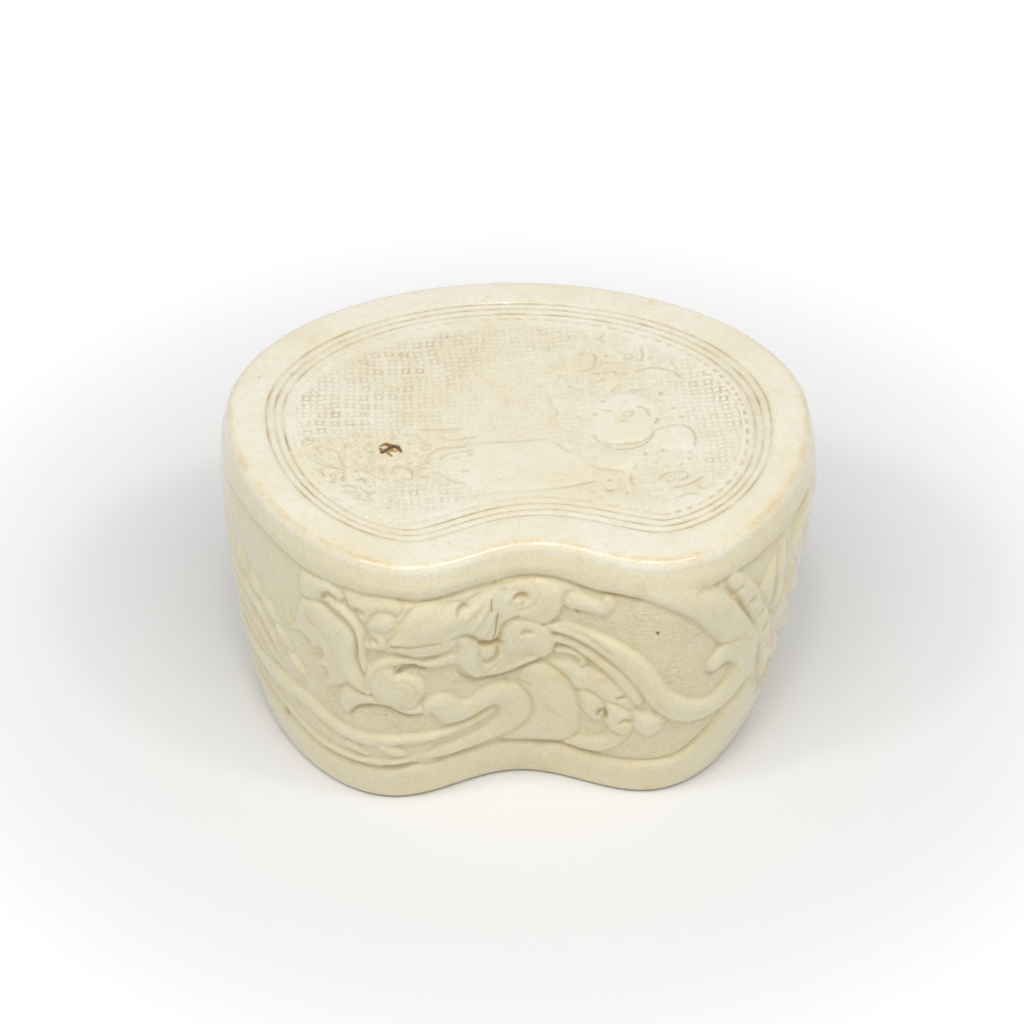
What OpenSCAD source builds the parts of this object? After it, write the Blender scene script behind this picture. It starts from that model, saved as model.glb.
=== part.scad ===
// Bean-shaped ceramic pillow, slab-built: a press-moulded wall in two halves, a headrest slab on top
// and a base slab set inside the foot, all luted with slip. The hollow of the bean faces -Y.

/* [Outline at the top edge] */
// Width of the headrest, end to end
top_width = 200; // [150:1:260]
// Depth behind the end seams
back_depth = 75; // [55:1:100]
// Depth in front of the end seams, before the hollow is taken out
front_depth = 99.5; // [80:0.5:130]
// Depth of the hollow in the front edge
hollow_depth = 26; // [10:0.5:36]
// Spread of the hollow to each side of the middle
hollow_spread = 34; // [26:0.5:45]

/* [Wall shape] */
// Height of the whole pillow
height = 112.5; // [90:0.5:145]
// Height at which the wall is widest
swell_height = 87; // [65:0.5:100]
// How far the wall swells out past the top edge
swell = 4.6; // [1:0.1:8]
// How far the foot draws in from the widest line
foot_inset = 14.2; // [6:0.1:20]
// Share of that draw that is an even slope, the rest being the curve near the foot
foot_slope = 0.43; // [0.2:0.01:0.9]
// How sharply the curve turns in near the foot
foot_turn = 3.2; // [2:0.1:4]
// Depth of the hollow at the foot
foot_hollow_depth = 34.8; // [12:0.1:42]
// Spread of the hollow at the foot
foot_hollow_spread = 40; // [30:0.5:52]
// Sideways lean of the foot
foot_shift = -4.3; // [-8:0.1:8]
// Warp from drying: depth gained for each unit of width
warp = -0.038; // [-0.06:0.001:0.06]

/* [Slabs] */
// Thickness of the wall
wall_thickness = 8; // [6:0.5:10]
// Thickness of the headrest slab
headrest_thickness = 7; // [5:0.5:9]
// Rounding of the headrest's upper edge
edge_round = 4; // [2:0.5:4.5]
// Dip of the headrest in the middle
headrest_dip = 2.5; // [0:0.1:5]
// Thickness of the base slab
base_thickness = 8; // [6:0.5:10]
// Rounding of the foot's outer edge
foot_round = 2; // [1:0.5:4]

/* [Bands] */
// Height of the plain rim band, measured down from the top
rim_band = 12.5; // [11.5:0.1:18]
// Height of the plain foot band
foot_band = 17.6; // [14:0.1:24]
// Depth of the groove that sets off each band from the moulded panel
groove_depth = 1.2; // [0.5:0.1:2]
// Height of each side of that groove
groove_side = 1.5; // [0.5:0.1:2]

/* [Luting] */
// Thickness of the luting slip
slip_thickness = 0.8; // [0.5:0.1:1.5]
// How far the slip under the headrest and around the base lies back from the outside
slip_rake = 1; // [0.5:0.1:2]
// How far the slip in the end seams lies back, behind the moulded work
seam_rake = 3; // [2:0.1:5]
// Height and reach of the coil under the headrest
coil_size = 9; // [5:0.5:13]
// Width of the strip over an end seam
strip_width = 18; // [10:1:30]
// Thickness of that strip
strip_thickness = 3; // [2:0.5:5]
// Clearance between pressed-on clay and the slab it is pressed on
press_clearance = 0.15; // [0.1:0.05:0.3]
// Clearance of the slip in an end seam
seam_clearance = 0.05; // [0.02:0.01:0.1]

/* [Vent] */
// Diameter of the firing vent in the base slab
vent_diameter = 5; // [3:0.5:8]
// Distance of the vent behind the middle
vent_back = 25; // [0:1:40]

/* [Hidden] */
$fn = 48;
glaze = [0.90, 0.87, 0.79];
clay = [0.80, 0.72, 0.60];
slip_clay = [0.72, 0.62, 0.48];
angle_step = 3;
nudge = 0.5;

// Heights that several pieces share
seat_height = height - headrest_thickness;
wall_top = seat_height - slip_thickness;
panel_top = height - rim_band;
strip_low = base_thickness + 8;
strip_high = seat_height - coil_size - 2;

// Angle that a length along the outline takes at an end, in front and behind
function front_angle(length) = length / front_depth * 180 / PI;
function back_angle(length) = length / back_depth * 180 / PI;
front_gap_angle = front_angle(slip_thickness / 2);
back_gap_angle = back_angle(slip_thickness / 2);
front_slip_angle = front_angle(slip_thickness / 2 - seam_clearance);
back_slip_angle = back_angle(slip_thickness / 2 - seam_clearance);
front_strip_angle = front_angle(strip_width / 2);
back_strip_angle = back_angle(strip_width / 2);

// Angles around the outline: 0 is the right end, 90 the back, 180 the left end, 270 the hollow
around = [0 : angle_step : 360 - angle_step];
inner_steps = [angle_step : angle_step : 180 - angle_step];
back_angles = concat([back_gap_angle], [for (a = inner_steps) a], [180 - back_gap_angle]);
front_angles = concat([180 + front_gap_angle], [for (a = inner_steps) 180 + a], [360 - front_gap_angle]);

// The outline's change with height
function taper(z) =
    z >= swell_height ? 0 :
    let (drop = 1 - z / swell_height)
    foot_slope * drop + (1 - foot_slope) * pow(drop, foot_turn);

function swelling(z) =
    z <= swell_height ? swell : swell * (1 - pow((z - swell_height) / (height - swell_height), 2));

function inset(z) = foot_inset * taper(z) - swelling(z);

function blend(top, foot, z) = top + (foot - top) * taper(z);

// A point of the outer outline at angle a and height z, before centring
function outline_point(a, z) =
    let (depth_now = blend(hollow_depth, foot_hollow_depth, z),
         spread_now = blend(hollow_spread, foot_hollow_spread, z),
         across = (top_width / 2 - inset(z)) * cos(a),
         in_front = sin(a) < 0,
         reach = in_front ? front_depth + depth_now - hollow_depth : back_depth,
         hollow = in_front ? depth_now * exp(-pow(across / spread_now, 2)) : 0,
         x = across + foot_shift * taper(z))
    [x, (reach - inset(z)) * sin(a) + hollow + warp * x];

// The outward direction there
function outline_normal(a, z) =
    let (along = outline_point(a + nudge, z) - outline_point(a - nudge, z))
    [along.y, -along.x] / norm(along);

// The widest outline is centred on the origin
widest_y = [for (a = around) outline_point(a, swell_height).y];
centre_y = (max(widest_y) + min(widest_y)) / 2;

// A place in the clay is [depth under the outer face, height of the outline it follows, height]
function clay_point(a, place) =
    let (p = outline_point(a, place[1]), n = outline_normal(a, place[1]))
    [p.x - place[0] * n.x, p.y - place[0] * n.y - centre_y, place[2]];

function plan(depth) = [for (a = around) let (p = clay_point(a, [depth, 0, 0])) [p.x, p.y]];

// Triangles between two rows of points that both have n points in a closed loop
function band_faces(n, row, next) =
    [for (k = [0 : n - 1], flip = [0, 1])
        let (a = row * n + k, b = row * n + (k + 1) % n, c = next * n + (k + 1) % n, d = next * n + k)
        flip == 0 ? [a, c, b] : [a, d, c]];

// A section swept along the outline: an outer and an inner row of places, from the bottom up
module sweep(outer, inner, angles, closed = false) {
    half = len(outer);
    n = 2 * half;
    section = concat(outer, [for (k = [half - 1 : -1 : 0]) inner[k]]);
    rows = len(angles);
    points = [for (a = angles) for (place = section) clay_point(a, place)];
    last = closed ? rows - 1 : rows - 2;
    sides = [for (row = [0 : last]) each band_faces(n, row, (row + 1) % rows)];
    caps = closed ? [] : concat(cap_faces(half, 0, false), cap_faces(half, (rows - 1) * n, true));
    polyhedron(points, concat(sides, caps));
}

// The flat end of an open sweep, as triangles between its outer and inner rows
function cap_faces(half, first, turned) =
    [for (k = [0 : half - 2], flip = [0, 1])
        let (a = first + k, b = a + 1, d = first + 2 * half - 1 - k, c = d - 1,
             face = flip == 0 ? [a, b, c] : [a, c, d])
        turned ? [face[2], face[1], face[0]] : face];

// The wall's section: bands, grooves and the level of the moulded work outside, and inside an upright
// seat for the base
panel_parts = 9;
panel_low = foot_band + groove_side;
panel_high = panel_top - groove_side;
function groove(z) = [[0, z - groove_side, z - groove_side], [groove_depth, z, z]];
wall_outer = concat(
    [[foot_round, 0, 0], [0, foot_round, foot_round]],
    groove(foot_band),
    [for (k = [0 : panel_parts - 1])
        let (z = panel_low + (panel_high - panel_low) * k / panel_parts) [0, z, z]],
    groove(panel_top),
    [[0, panel_top + groove_side, panel_top + groove_side], [0, wall_top, wall_top]]);
seat_places = [[wall_thickness, 0, 0], [wall_thickness, 0, base_thickness]];
rise_parts = len(wall_outer) - len(seat_places) - 1;
wall_inner = concat(seat_places,
    [for (k = [0 : rise_parts])
        let (z = strip_low + (wall_top - strip_low) * k / rise_parts) [wall_thickness, z, z]]);

module half_wall(angles) {
    color(glaze) sweep(wall_outer, wall_inner, angles);
}

module front_wall() {
    half_wall(front_angles);
}

module back_wall() {
    half_wall(back_angles);
}

// Rings of the headrest: [share of the way out from the middle, place]
hollow_reach = front_depth - hollow_depth + centre_y;
dip_edge = 1 - (wall_thickness + coil_size + 2) / hollow_reach;
function under_dip(share) = headrest_dip * pow(1 - pow(share / dip_edge, 2), 2);
function upper_dip(share) = headrest_dip * pow(1 - share * share, 1.5);
headrest_rings = concat(
    [for (part = [0.3, 0.6, 0.8, 1])
        let (share = part * dip_edge) [share, [0, seat_height, seat_height - under_dip(share)]]],
    [for (z = [seat_height : (height - edge_round - seat_height) / 2 : height - edge_round]) [1, [0, z, z]]],
    [for (turn = [30 : 30 : 90])
        [1, [edge_round * (1 - cos(turn)), height - edge_round, height - edge_round * (1 - sin(turn))]]],
    [for (share = [0.9, 0.8, 0.65, 0.5, 0.25])
        [share, [edge_round, height - edge_round, height - upper_dip(share)]]]);

function headrest_point(a, ring) =
    let (p = clay_point(a, ring[1])) [p.x * ring[0], p.y * ring[0], p.z];

module headrest_slab() {
    n = len([for (a = around) a]);
    rings = len(headrest_rings);
    under = n * rings;
    upper = under + 1;
    points = concat(
        [for (ring = headrest_rings) for (a = around) headrest_point(a, ring)],
        [[0, 0, seat_height - under_dip(0)], [0, 0, height - upper_dip(0)]]);
    sides = [for (row = [0 : rings - 2]) each band_faces(n, row, row + 1)];
    closing = [for (k = [0 : n - 1], top = [0, 1])
        let (next = (k + 1) % n, first = (rings - 1) * n)
        top == 0 ? [under, k, next] : [upper, first + next, first + k]];
    color(glaze) polyhedron(points, concat(sides, closing));
}

// The base slab, with its vent
module base_slab() {
    color(clay) difference() {
        linear_extrude(base_thickness) polygon(plan(wall_thickness + slip_thickness));
        translate([foot_shift, vent_back, -1]) cylinder(d = vent_diameter, h = base_thickness + 2);
    }
}

// The luting slip
module headrest_slip() {
    low = [slip_rake, wall_top, wall_top];
    high = [slip_rake, wall_top, seat_height];
    shift = [wall_thickness - slip_rake, 0, 0];
    color(slip_clay) sweep([low, high], [low + shift, high + shift], [for (a = around) a], closed = true);
}

module base_slip() {
    color(slip_clay) translate([0, 0, slip_rake]) linear_extrude(base_thickness - slip_rake) difference() {
        polygon(plan(wall_thickness));
        polygon(plan(wall_thickness + slip_thickness));
    }
}

module seam_slip(angles) {
    outer = [for (place = wall_outer) [seam_rake, place[1], max(place[2], slip_rake)]];
    inner = [for (place = wall_inner) [place[0], place[1], max(place[2], slip_rake)]];
    color(slip_clay) sweep(outer, inner, angles);
}

module left_seam_slip() {
    seam_slip([180 - back_slip_angle, 180 + front_slip_angle]);
}

module right_seam_slip() {
    seam_slip([-front_slip_angle, back_slip_angle]);
}

// The clay pressed on from inside
coil_parts = 5;
coil_foot = 0.12;
function coil_reach(share) = coil_size * (coil_foot + (1 - coil_foot) * (1 - sqrt(1 - share * share)));

module headrest_coil() {
    skin = wall_thickness + press_clearance;
    top = seat_height - press_clearance;
    heights = [for (k = [0 : coil_parts]) [k / coil_parts, top - coil_size + coil_size * k / coil_parts]];
    outer = [for (h = heights) [skin, min(h[1], wall_top), h[1]]];
    inner = [for (h = heights) [skin + coil_reach(h[0]), min(h[1], wall_top), h[1]]];
    color(clay) sweep(outer, inner, [for (a = around) a], closed = true);
}

strip_parts = 6;
strip_turns = 4;
module seam_strip(middle, before, after) {
    skin = wall_thickness + press_clearance;
    heights = [for (k = [0 : strip_parts]) strip_low + (strip_high - strip_low) * k / strip_parts];
    angles = [for (k = [0 : strip_turns]) middle - before + (before + after) * k / strip_turns];
    color(clay) sweep([for (z = heights) [skin, z, z]], [for (z = heights) [skin + strip_thickness, z, z]], angles);
}

module left_seam_strip() {
    seam_strip(180, back_strip_angle, front_strip_angle);
}

module right_seam_strip() {
    seam_strip(0, front_strip_angle, back_strip_angle);
}

headrest_slab();
front_wall();
back_wall();
base_slab();
headrest_slip();
base_slip();
left_seam_slip();
right_seam_slip();
headrest_coil();
left_seam_strip();
right_seam_strip();
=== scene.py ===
import bpy
import numpy as np
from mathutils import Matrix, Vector


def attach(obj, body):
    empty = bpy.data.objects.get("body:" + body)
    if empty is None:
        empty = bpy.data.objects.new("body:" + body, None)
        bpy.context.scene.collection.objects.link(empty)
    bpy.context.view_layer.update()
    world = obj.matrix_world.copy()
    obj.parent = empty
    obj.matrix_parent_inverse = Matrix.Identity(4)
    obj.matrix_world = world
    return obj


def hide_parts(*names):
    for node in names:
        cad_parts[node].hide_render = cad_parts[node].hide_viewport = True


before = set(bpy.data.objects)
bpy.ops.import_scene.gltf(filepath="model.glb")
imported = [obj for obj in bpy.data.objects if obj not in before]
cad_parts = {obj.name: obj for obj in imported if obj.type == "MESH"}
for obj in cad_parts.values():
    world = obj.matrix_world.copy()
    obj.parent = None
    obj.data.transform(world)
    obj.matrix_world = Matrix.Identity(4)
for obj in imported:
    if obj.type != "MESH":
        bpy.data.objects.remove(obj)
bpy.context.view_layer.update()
print("frame loaded")

# the bean's driving sizes in millimetres, the same as in the part's source
bean = {
    "topWidth": 200, "backDepth": 75, "frontDepth": 99.5,
    "hollowDepth": 26, "hollowSpread": 34, "footHollowDepth": 34.8, "footHollowSpread": 40,
    "height": 112.5, "swellHeight": 87, "swell": 4.6,
    "footInset": 14.2, "footSlope": 0.43, "footTurn": 3.2, "footShift": -4.3, "warp": -0.038,
    "wallThickness": 8, "wallTop": 104.7, "seatHeight": 105.5, "edgeRound": 4, "dip": 2.5, "footRound": 2,
    "skinTop": 105.3, "skinDeep": 0.9,
}
edgeFoot = bean["height"] - bean["edgeRound"]  # where the headrest's rounded edge starts


def taper(z):  # how far the wall has drawn in at height z, from 0 at the swell to 1 at the foot
    drop = np.clip(1 - z / bean["swellHeight"], 0, None)
    return bean["footSlope"] * drop + (1 - bean["footSlope"]) * drop ** bean["footTurn"]


def inset(z):  # distance of the outline inside the top edge; negative where the wall swells
    rise = np.clip((z - bean["swellHeight"]) / (bean["height"] - bean["swellHeight"]), 0, None)
    return bean["footInset"] * taper(z) - bean["swell"] * (1 - rise ** 2)


def outline(angle, z):  # an oval with a bell-shaped hollow taken out of its front
    deep = bean["hollowDepth"] + (bean["footHollowDepth"] - bean["hollowDepth"]) * taper(z)
    spread = bean["hollowSpread"] + (bean["footHollowSpread"] - bean["hollowSpread"]) * taper(z)
    across = (bean["topWidth"] / 2 - inset(z)) * np.cos(angle)
    front = np.sin(angle) < 0
    reach = np.where(front, bean["frontDepth"] + deep - bean["hollowDepth"], bean["backDepth"])
    hollow = np.where(front, deep * np.exp(-(across / spread) ** 2), 0)
    x = across + bean["footShift"] * taper(z)
    return x, (reach - inset(z)) * np.sin(angle) + hollow + bean["warp"] * x


widestY = outline(np.radians(np.arange(0, 360, 3)), bean["swellHeight"])[1]
centreY = (widestY.max() + widestY.min()) / 2


def clay(angle, depth, ring, z):  # the point that far under the outline of height ring, set at height z
    angle, depth, ring, z = np.broadcast_arrays(angle, depth, ring, z)
    step = np.radians(0.5)
    x, y = outline(angle, ring)
    aheadX, aheadY = outline(angle + step, ring)
    behindX, behindY = outline(angle - step, ring)
    alongX = aheadX - behindX
    alongY = aheadY - behindY
    size = np.hypot(alongX, alongY)
    return np.stack([x - depth * alongY / size, y + depth * alongX / size - centreY, z + 0.0 * x], -1)


# arc length round the swell from the middle of the hollow, growing to the viewer's right
roundAngles = np.radians(np.linspace(90, 630, 10801))
roundX, roundY = outline(roundAngles, bean["swellHeight"])
roundArc = np.concatenate([[0], np.cumsum(np.hypot(np.diff(roundX), np.diff(roundY)))])
roundArc = roundArc - np.interp(np.radians(270), roundAngles, roundArc)


def arcAt(degrees):
    return np.interp(np.radians(degrees), roundAngles, roundArc)


# shader values: maths on them adds Math nodes
class Value:
    def __init__(self, finish, socket):
        self.finish = finish
        self.socket = socket

    def math(self, operation, *others):
        made = self.finish.node("ShaderNodeMath", {"operation": operation}, dict(enumerate((self,) + others)))
        return made[0]

    def __add__(self, other):
        return self.math("ADD", other)

    def __sub__(self, other):
        return self.math("SUBTRACT", other)

    def __rsub__(self, other):
        return (self * -1.0).math("ADD", other)

    def __mul__(self, other):
        return self.math("MULTIPLY", other)

    __radd__ = __add__
    __rmul__ = __mul__

    def between(self, low, high):  # a smooth step from 0 at low to 1 at high
        made = self.finish.node("ShaderNodeMapRange", {"interpolation_type": "SMOOTHSTEP"},
                                {0: self, 1: low, 2: high, 3: 0.0, 4: 1.0})
        return made[0]


# the nodes of a material or of the world
class Finish:
    def __init__(self, owner):
        owner.use_nodes = True
        self.owner = owner
        self.tree = owner.node_tree
        self.tree.nodes.clear()
        self.place = self.node("ShaderNodeTexCoord")["Object"]

    def node(self, kind, settings=None, inputs=None):
        made = self.tree.nodes.new(kind)
        for key, setting in (settings or {}).items():
            setattr(made, key, setting)
        for key, value in (inputs or {}).items():
            if isinstance(value, Value):
                self.tree.links.new(value.socket, made.inputs[key])
            else:
                made.inputs[key].default_value = value
        return Outputs(self, made)

    def attribute(self, name):
        return self.node("ShaderNodeAttribute", {"attribute_name": name})["Fac"]

    def noise(self, size, detail=2.0, roughness=0.5):  # size is the width of a patch in millimetres
        return self.node("ShaderNodeTexNoise", None, {
            "Vector": self.place, "Scale": 1000.0 / size, "Detail": detail, "Roughness": roughness})["Fac"]

    def mix(self, factor, first, second):
        made = self.node("ShaderNodeMix", {"data_type": "RGBA", "clamp_factor": True},
                         {0: factor, 6: first, 7: second})
        return made[2]

    def bump(self, height, distance, normal=None):  # distance in millimetres for a height of 1
        inputs = {"Height": height, "Distance": distance * 0.001, "Strength": 1.0}
        if normal is not None:
            inputs["Normal"] = normal
        return self.node("ShaderNodeBump", None, inputs)["Normal"]

    def surface(self, inputs):
        shader = self.node("ShaderNodeBsdfPrincipled", None, inputs)["BSDF"]
        self.node("ShaderNodeOutputMaterial", None, {"Surface": shader})
        return self.owner

    def shown(self):  # 1 for what the camera, a reflection or a clear body sees, 0 for light on its way
        path = self.node("ShaderNodeLightPath")
        rays = path["Is Camera Ray"] + path["Is Glossy Ray"] + path["Is Transmission Ray"]
        return rays.math("MINIMUM", 1.0)


class Outputs:
    def __init__(self, finish, made):
        self.finish = finish
        self.made = made

    def __getitem__(self, key):
        return Value(self.finish, self.made.outputs[key])


def colour(red, green, blue):  # screen values from 0 to 255
    share = np.array([red, green, blue]) / 255
    linear = np.where(share <= 0.04045, share / 12.92, ((share + 0.055) / 1.055) ** 2.4)
    return tuple(float(v) for v in linear) + (1.0,)


glazeSet = {
    "ivory": colour(240, 235, 218),
    "wall": colour(230, 222, 188),
    "pale": colour(238, 234, 212),
    "cream": colour(228, 214, 172),
    "pool": colour(208, 196, 150),
    "stain": colour(186, 166, 116),
    "buff": colour(222, 190, 128),
    "ochre": colour(212, 174, 106),
    "amber": colour(168, 126, 40),
    "rust": colour(74, 44, 12),
    "roughness": 0.1,
    "coat": 0.2,
    "coatRoughness": 0.03,
    "gloss": 0.44,
    "upper": (0.1068, 0.1096),  # heights in metres between which the wall's tone turns into the top's lighter one, which is partly painted light
    "markTurn": 0.35,
    "markScale": (440.0, 1180.0, 1.0),
}


# the ivory glaze: cloudy cream, deeper where it pools, stained in the cut lines and thin on the crests;
# painted sheen on the raised forms, painted shade in the crevices and painted light on the top
def ivoryGlaze(name, detail):
    finish = Finish(bpy.data.materials.new(name))
    line = finish.attribute("line")
    level = finish.attribute("pool")
    pool = level.math("MAXIMUM", 0.0)
    # raised forms, below 0 on the pool level: these get the pale tone with its painted sheen
    raised = (level * -1.0).math("MAXIMUM", 0.0)
    crest = finish.attribute("crest")
    wear = finish.attribute("wear")
    flaw = finish.attribute("flaw")
    ground = finish.attribute("ground")
    # patches of the glaze, from the widest to the finest
    cloud = finish.noise(34.0, 3.0, 0.6).between(0.32, 0.72)
    chosen = finish.noise(30.0, 0.0).between(0.55, 0.6)
    patchy = finish.noise(11.0, 3.0, 0.6).between(0.35, 0.68)
    swells = finish.noise(9.0, 2.0)
    blotch = finish.noise(6.0, 3.0, 0.6)
    mottle = finish.noise(3.2, 4.0, 0.65)
    grain = finish.noise(0.9, 3.0, 0.6)
    speckle = finish.noise(0.5, 2.0, 0.6).between(0.4, 0.6)
    dots = finish.node("ShaderNodeTexVoronoi", None, {"Vector": finish.place, "Scale": 75.0})["Distance"]
    pin = 1.0 - dots.between(0.02, 0.045)
    pits = detail(finish, ground) * (patchy * 0.65 + 0.35)
    tall = finish.node("ShaderNodeSeparateXYZ", None, {"Vector": finish.place})["Z"]
    upper = tall.between(*glazeSet["upper"])
    worn = (wear * 1.3 - 0.5).between(0.0, 0.7)
    # the top is lighter and whiter than the wall: partly a yellower glaze on the wall, partly painted light
    # on the upward-facing top
    base = finish.mix(upper, glazeSet["wall"], glazeSet["ivory"])
    # each tone lies over the ones before it
    for share, tone in (
            (cloud * 0.5, "cream"),
            # pale on the raised forms: a thinner glaze there, and a painted sheen
            (raised * 0.6, "pale"),
            (mottle.between(0.42, 0.75) * 0.4, "cream"),
            (blotch.between(0.55, 0.75) * (0.36 - upper * 0.2), "buff"),
            ((1.0 - blotch.between(0.25, 0.45)) * 0.4, "pale"),
            (grain.between(0.48, 0.72) * 0.24, "stain"),
            (pool * 0.5, "pool"),
            (pool * patchy * 0.5, "buff"),
            (crest * (patchy * 0.8 + 0.15), "buff"),
            # the line mark: stain in the cut lines, and on the walls also painted shade in the crevices
            (line * (patchy * 0.4 + 0.35), "stain"),
            (line.between(0.4, 0.95) * (patchy * 0.45 + 0.12), "amber"),
            (pits * 0.14, "stain"),
            (pits * patchy * 0.2, "buff"),
            (wear * (patchy * 0.5 + 0.2) * (speckle * 0.6 + 0.3), "buff"),
            (worn * speckle * (patchy * 0.35 + 0.03), "ochre"),
            (pin * chosen * 0.8, "stain"),
            ((flaw + (grain - 0.5) * 0.5 * flaw).between(0.1, 0.45), "amber"),
            ((flaw + (mottle - 0.5) * 0.6 * flaw).between(0.5, 0.95), "rust")):
        base = finish.mix(share, base, glazeSet[tone])
    roughness = glazeSet["roughness"] + (mottle - 0.5) * 0.12 + wear * 0.12 + line * 0.08
    normal = finish.bump(swells, 0.35)
    normal = finish.bump(mottle * 0.14 + grain * 0.1 - pits * 0.5, 0.45, normal)
    return finish.surface({
        "Base Color": base, "Roughness": roughness, "Normal": normal,
        "Coat Weight": glazeSet["coat"], "Coat Roughness": glazeSet["coatRoughness"],
        "Specular IOR Level": glazeSet["gloss"]})


def stipple(finish, ground):  # short hatched marks on the ground between the moulded forms
    spread = finish.node("ShaderNodeAttribute", {"attribute_name": "spread"})["Vector"]
    turned = finish.node("ShaderNodeMapping", None, {
        "Vector": spread, "Rotation": (0, 0, glazeSet["markTurn"]), "Scale": glazeSet["markScale"]})["Vector"]
    marks = finish.node("ShaderNodeTexVoronoi", {"feature": "SMOOTH_F1"}, {
        "Vector": turned, "Scale": 1.0, "Smoothness": 0.5})["Distance"]
    return (1.0 - marks.between(0.1, 0.7)) * ground


def bareClay(name, tone, dark):  # unglazed clay with grog, or dried slip
    finish = Finish(bpy.data.materials.new(name))
    cloud = finish.noise(22.0, 4.0, 0.6).between(0.3, 0.75)
    grain = finish.noise(0.8, 4.0, 0.7)
    grog = finish.node("ShaderNodeTexVoronoi", None, {"Vector": finish.place, "Scale": 420.0})["Distance"]
    base = finish.mix(cloud * 0.7, tone, dark)
    base = finish.mix((1.0 - grog.between(0.08, 0.2)) * 0.45, base, dark)
    normal = finish.bump(grain + grog * 0.3, 0.3)
    return finish.surface({"Base Color": base, "Roughness": 0.78 + (grain - 0.5) * 0.2, "Normal": normal})


# moulded relief on a grid of arc length and height
def smoothPath(points, parts=6):  # a Catmull-Rom curve; an outline of (u, z) points is closed
    line = np.asarray(points, float)
    if line.shape[1] == 2:
        line = np.vstack([line[-1], line, line[:2]])
    else:
        line = np.vstack([2 * line[0] - line[1], line, 2 * line[-1] - line[-2]])
    t = np.linspace(0, 1, parts, endpoint=False)[None, :, None]
    a, b, c, d = (line[k:len(line) - 3 + k, None, :] for k in range(4))
    bent = (2 * a - 5 * b + 4 * c - d) * t ** 2 + (3 * b - a - 3 * c + d) * t ** 3
    curve = 0.5 * (2 * b + (c - a) * t + bent)
    return np.vstack([curve.reshape(-1, line.shape[1]), line[-2]])


def pathField(u, z, path):  # signed distance to a curve: a ribbon of half widths, or a closed outline
    ribbon = path.shape[1] == 3
    best = np.full(np.broadcast(u, z).shape, 99.0)
    odd = np.zeros(best.shape, bool)
    for p, q in zip(path[:-1], path[1:]):
        du, dz = q[:2] - p[:2]
        t = np.clip(((u - p[0]) * du + (z - p[1]) * dz) / max(du * du + dz * dz, 1e-9), 0, 1)
        away = np.hypot(u - p[0] - t * du, z - p[1] - t * dz)
        if ribbon:
            away = away - p[2] - t * (q[2] - p[2])
        else:
            odd ^= ((p[1] > z) != (q[1] > z)) & (u < p[0] + (z - p[1]) * du / (dz if dz else 1e-9))
        best = np.minimum(best, away)
    return np.where(odd, -best, best)


def ease(low, high, value):  # a smooth step from 0 at low to 1 at high
    share = np.clip((value - low) / (high - low), 0, 1)
    return share * share * (3 - 2 * share)


def fading(mark, width):  # 1 on a mark and falling off outside it
    return np.exp(-(np.clip(mark, 0, None) / width) ** 2)


def soften(grid, passes):  # spreads each value over its neighbours, along both directions
    for k in range(passes):
        wide = np.pad(grid, 1, mode="edge")
        grid = (wide[:-2, 1:-1] + 2 * wide[1:-1, 1:-1] + wide[2:, 1:-1]) / 4
        wide = np.pad(grid, 1, mode="edge")
        grid = (wide[1:-1, :-2] + 2 * wide[1:-1, 1:-1] + wide[1:-1, 2:]) / 4
    return grid


class Relief:
    def __init__(self, u, z, groove, grooveWidth):
        self.u = u
        self.z = z
        self.groove = groove
        self.grooveWidth = grooveWidth
        self.height = np.zeros((len(u), len(z)))
        self.carved = np.zeros_like(self.height)
        self.line = np.zeros_like(self.height)
        self.ground = np.ones_like(self.height)
        self.flaw = np.zeros_like(self.height)

    def window(self, path, reach):
        low = path.min(0)
        high = path.max(0)
        across = slice(*np.searchsorted(self.u, (low[0] - reach, high[0] + reach)))
        up = slice(*np.searchsorted(self.z, (low[1] - reach, high[1] + reach)))
        return across, up

    def field(self, shapes):
        best = np.full(self.height.shape, 99.0)
        for shape in shapes:
            path = smoothPath(shape)
            reach = 4.0 + (path[:, 2].max() if path.shape[1] == 3 else 0)
            across, up = self.window(path, reach)
            near = pathField(self.u[across, None], self.z[None, up], path)
            best[across, up] = np.minimum(best[across, up], near)
        return best

    def form(self, floor, rise, soft, *shapes):  # a rounded body laid over what is there
        away = self.field(shapes)
        t = np.clip(-away / (soft * 1.65), 0, 1)
        crown = 0.7 * np.sqrt(1 - (1 - t) ** 2) + 0.3 * (1 - np.exp(np.minimum(away, 0) / 4))
        body = np.maximum(floor + (rise - floor) * crown, self.height * 0.45)
        edge = np.exp(-(away / self.grooveWidth) ** 2)
        inside = away < 0
        self.height = np.where(inside, body, self.height) - self.groove * (1 - 0.6 * floor) * edge
        self.carved = np.where(inside, 0, self.carved)
        self.line = np.where(inside, np.minimum(self.line, edge), self.line)
        self.ground = np.where(away < 0.5, 0, self.ground)

    def cut(self, depth, *shapes, stain=0.55):  # incised strokes; half width in the third place
        away = self.field(shapes)
        mark = fading(away, 0.48)
        self.carved = np.maximum(self.carved, depth * mark)
        self.line = np.maximum(self.line, mark * stain)

    def swellUp(self, rise, *shapes):  # soft ridges and mounds
        away = self.field(shapes)
        self.height = self.height + rise * fading(away, 1.3)

    def spot(self, strength, *shapes):  # iron and burnt edges in the glaze
        away = self.field(shapes)
        self.flaw = np.maximum(self.flaw, strength * fading(away, 0.35))


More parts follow.
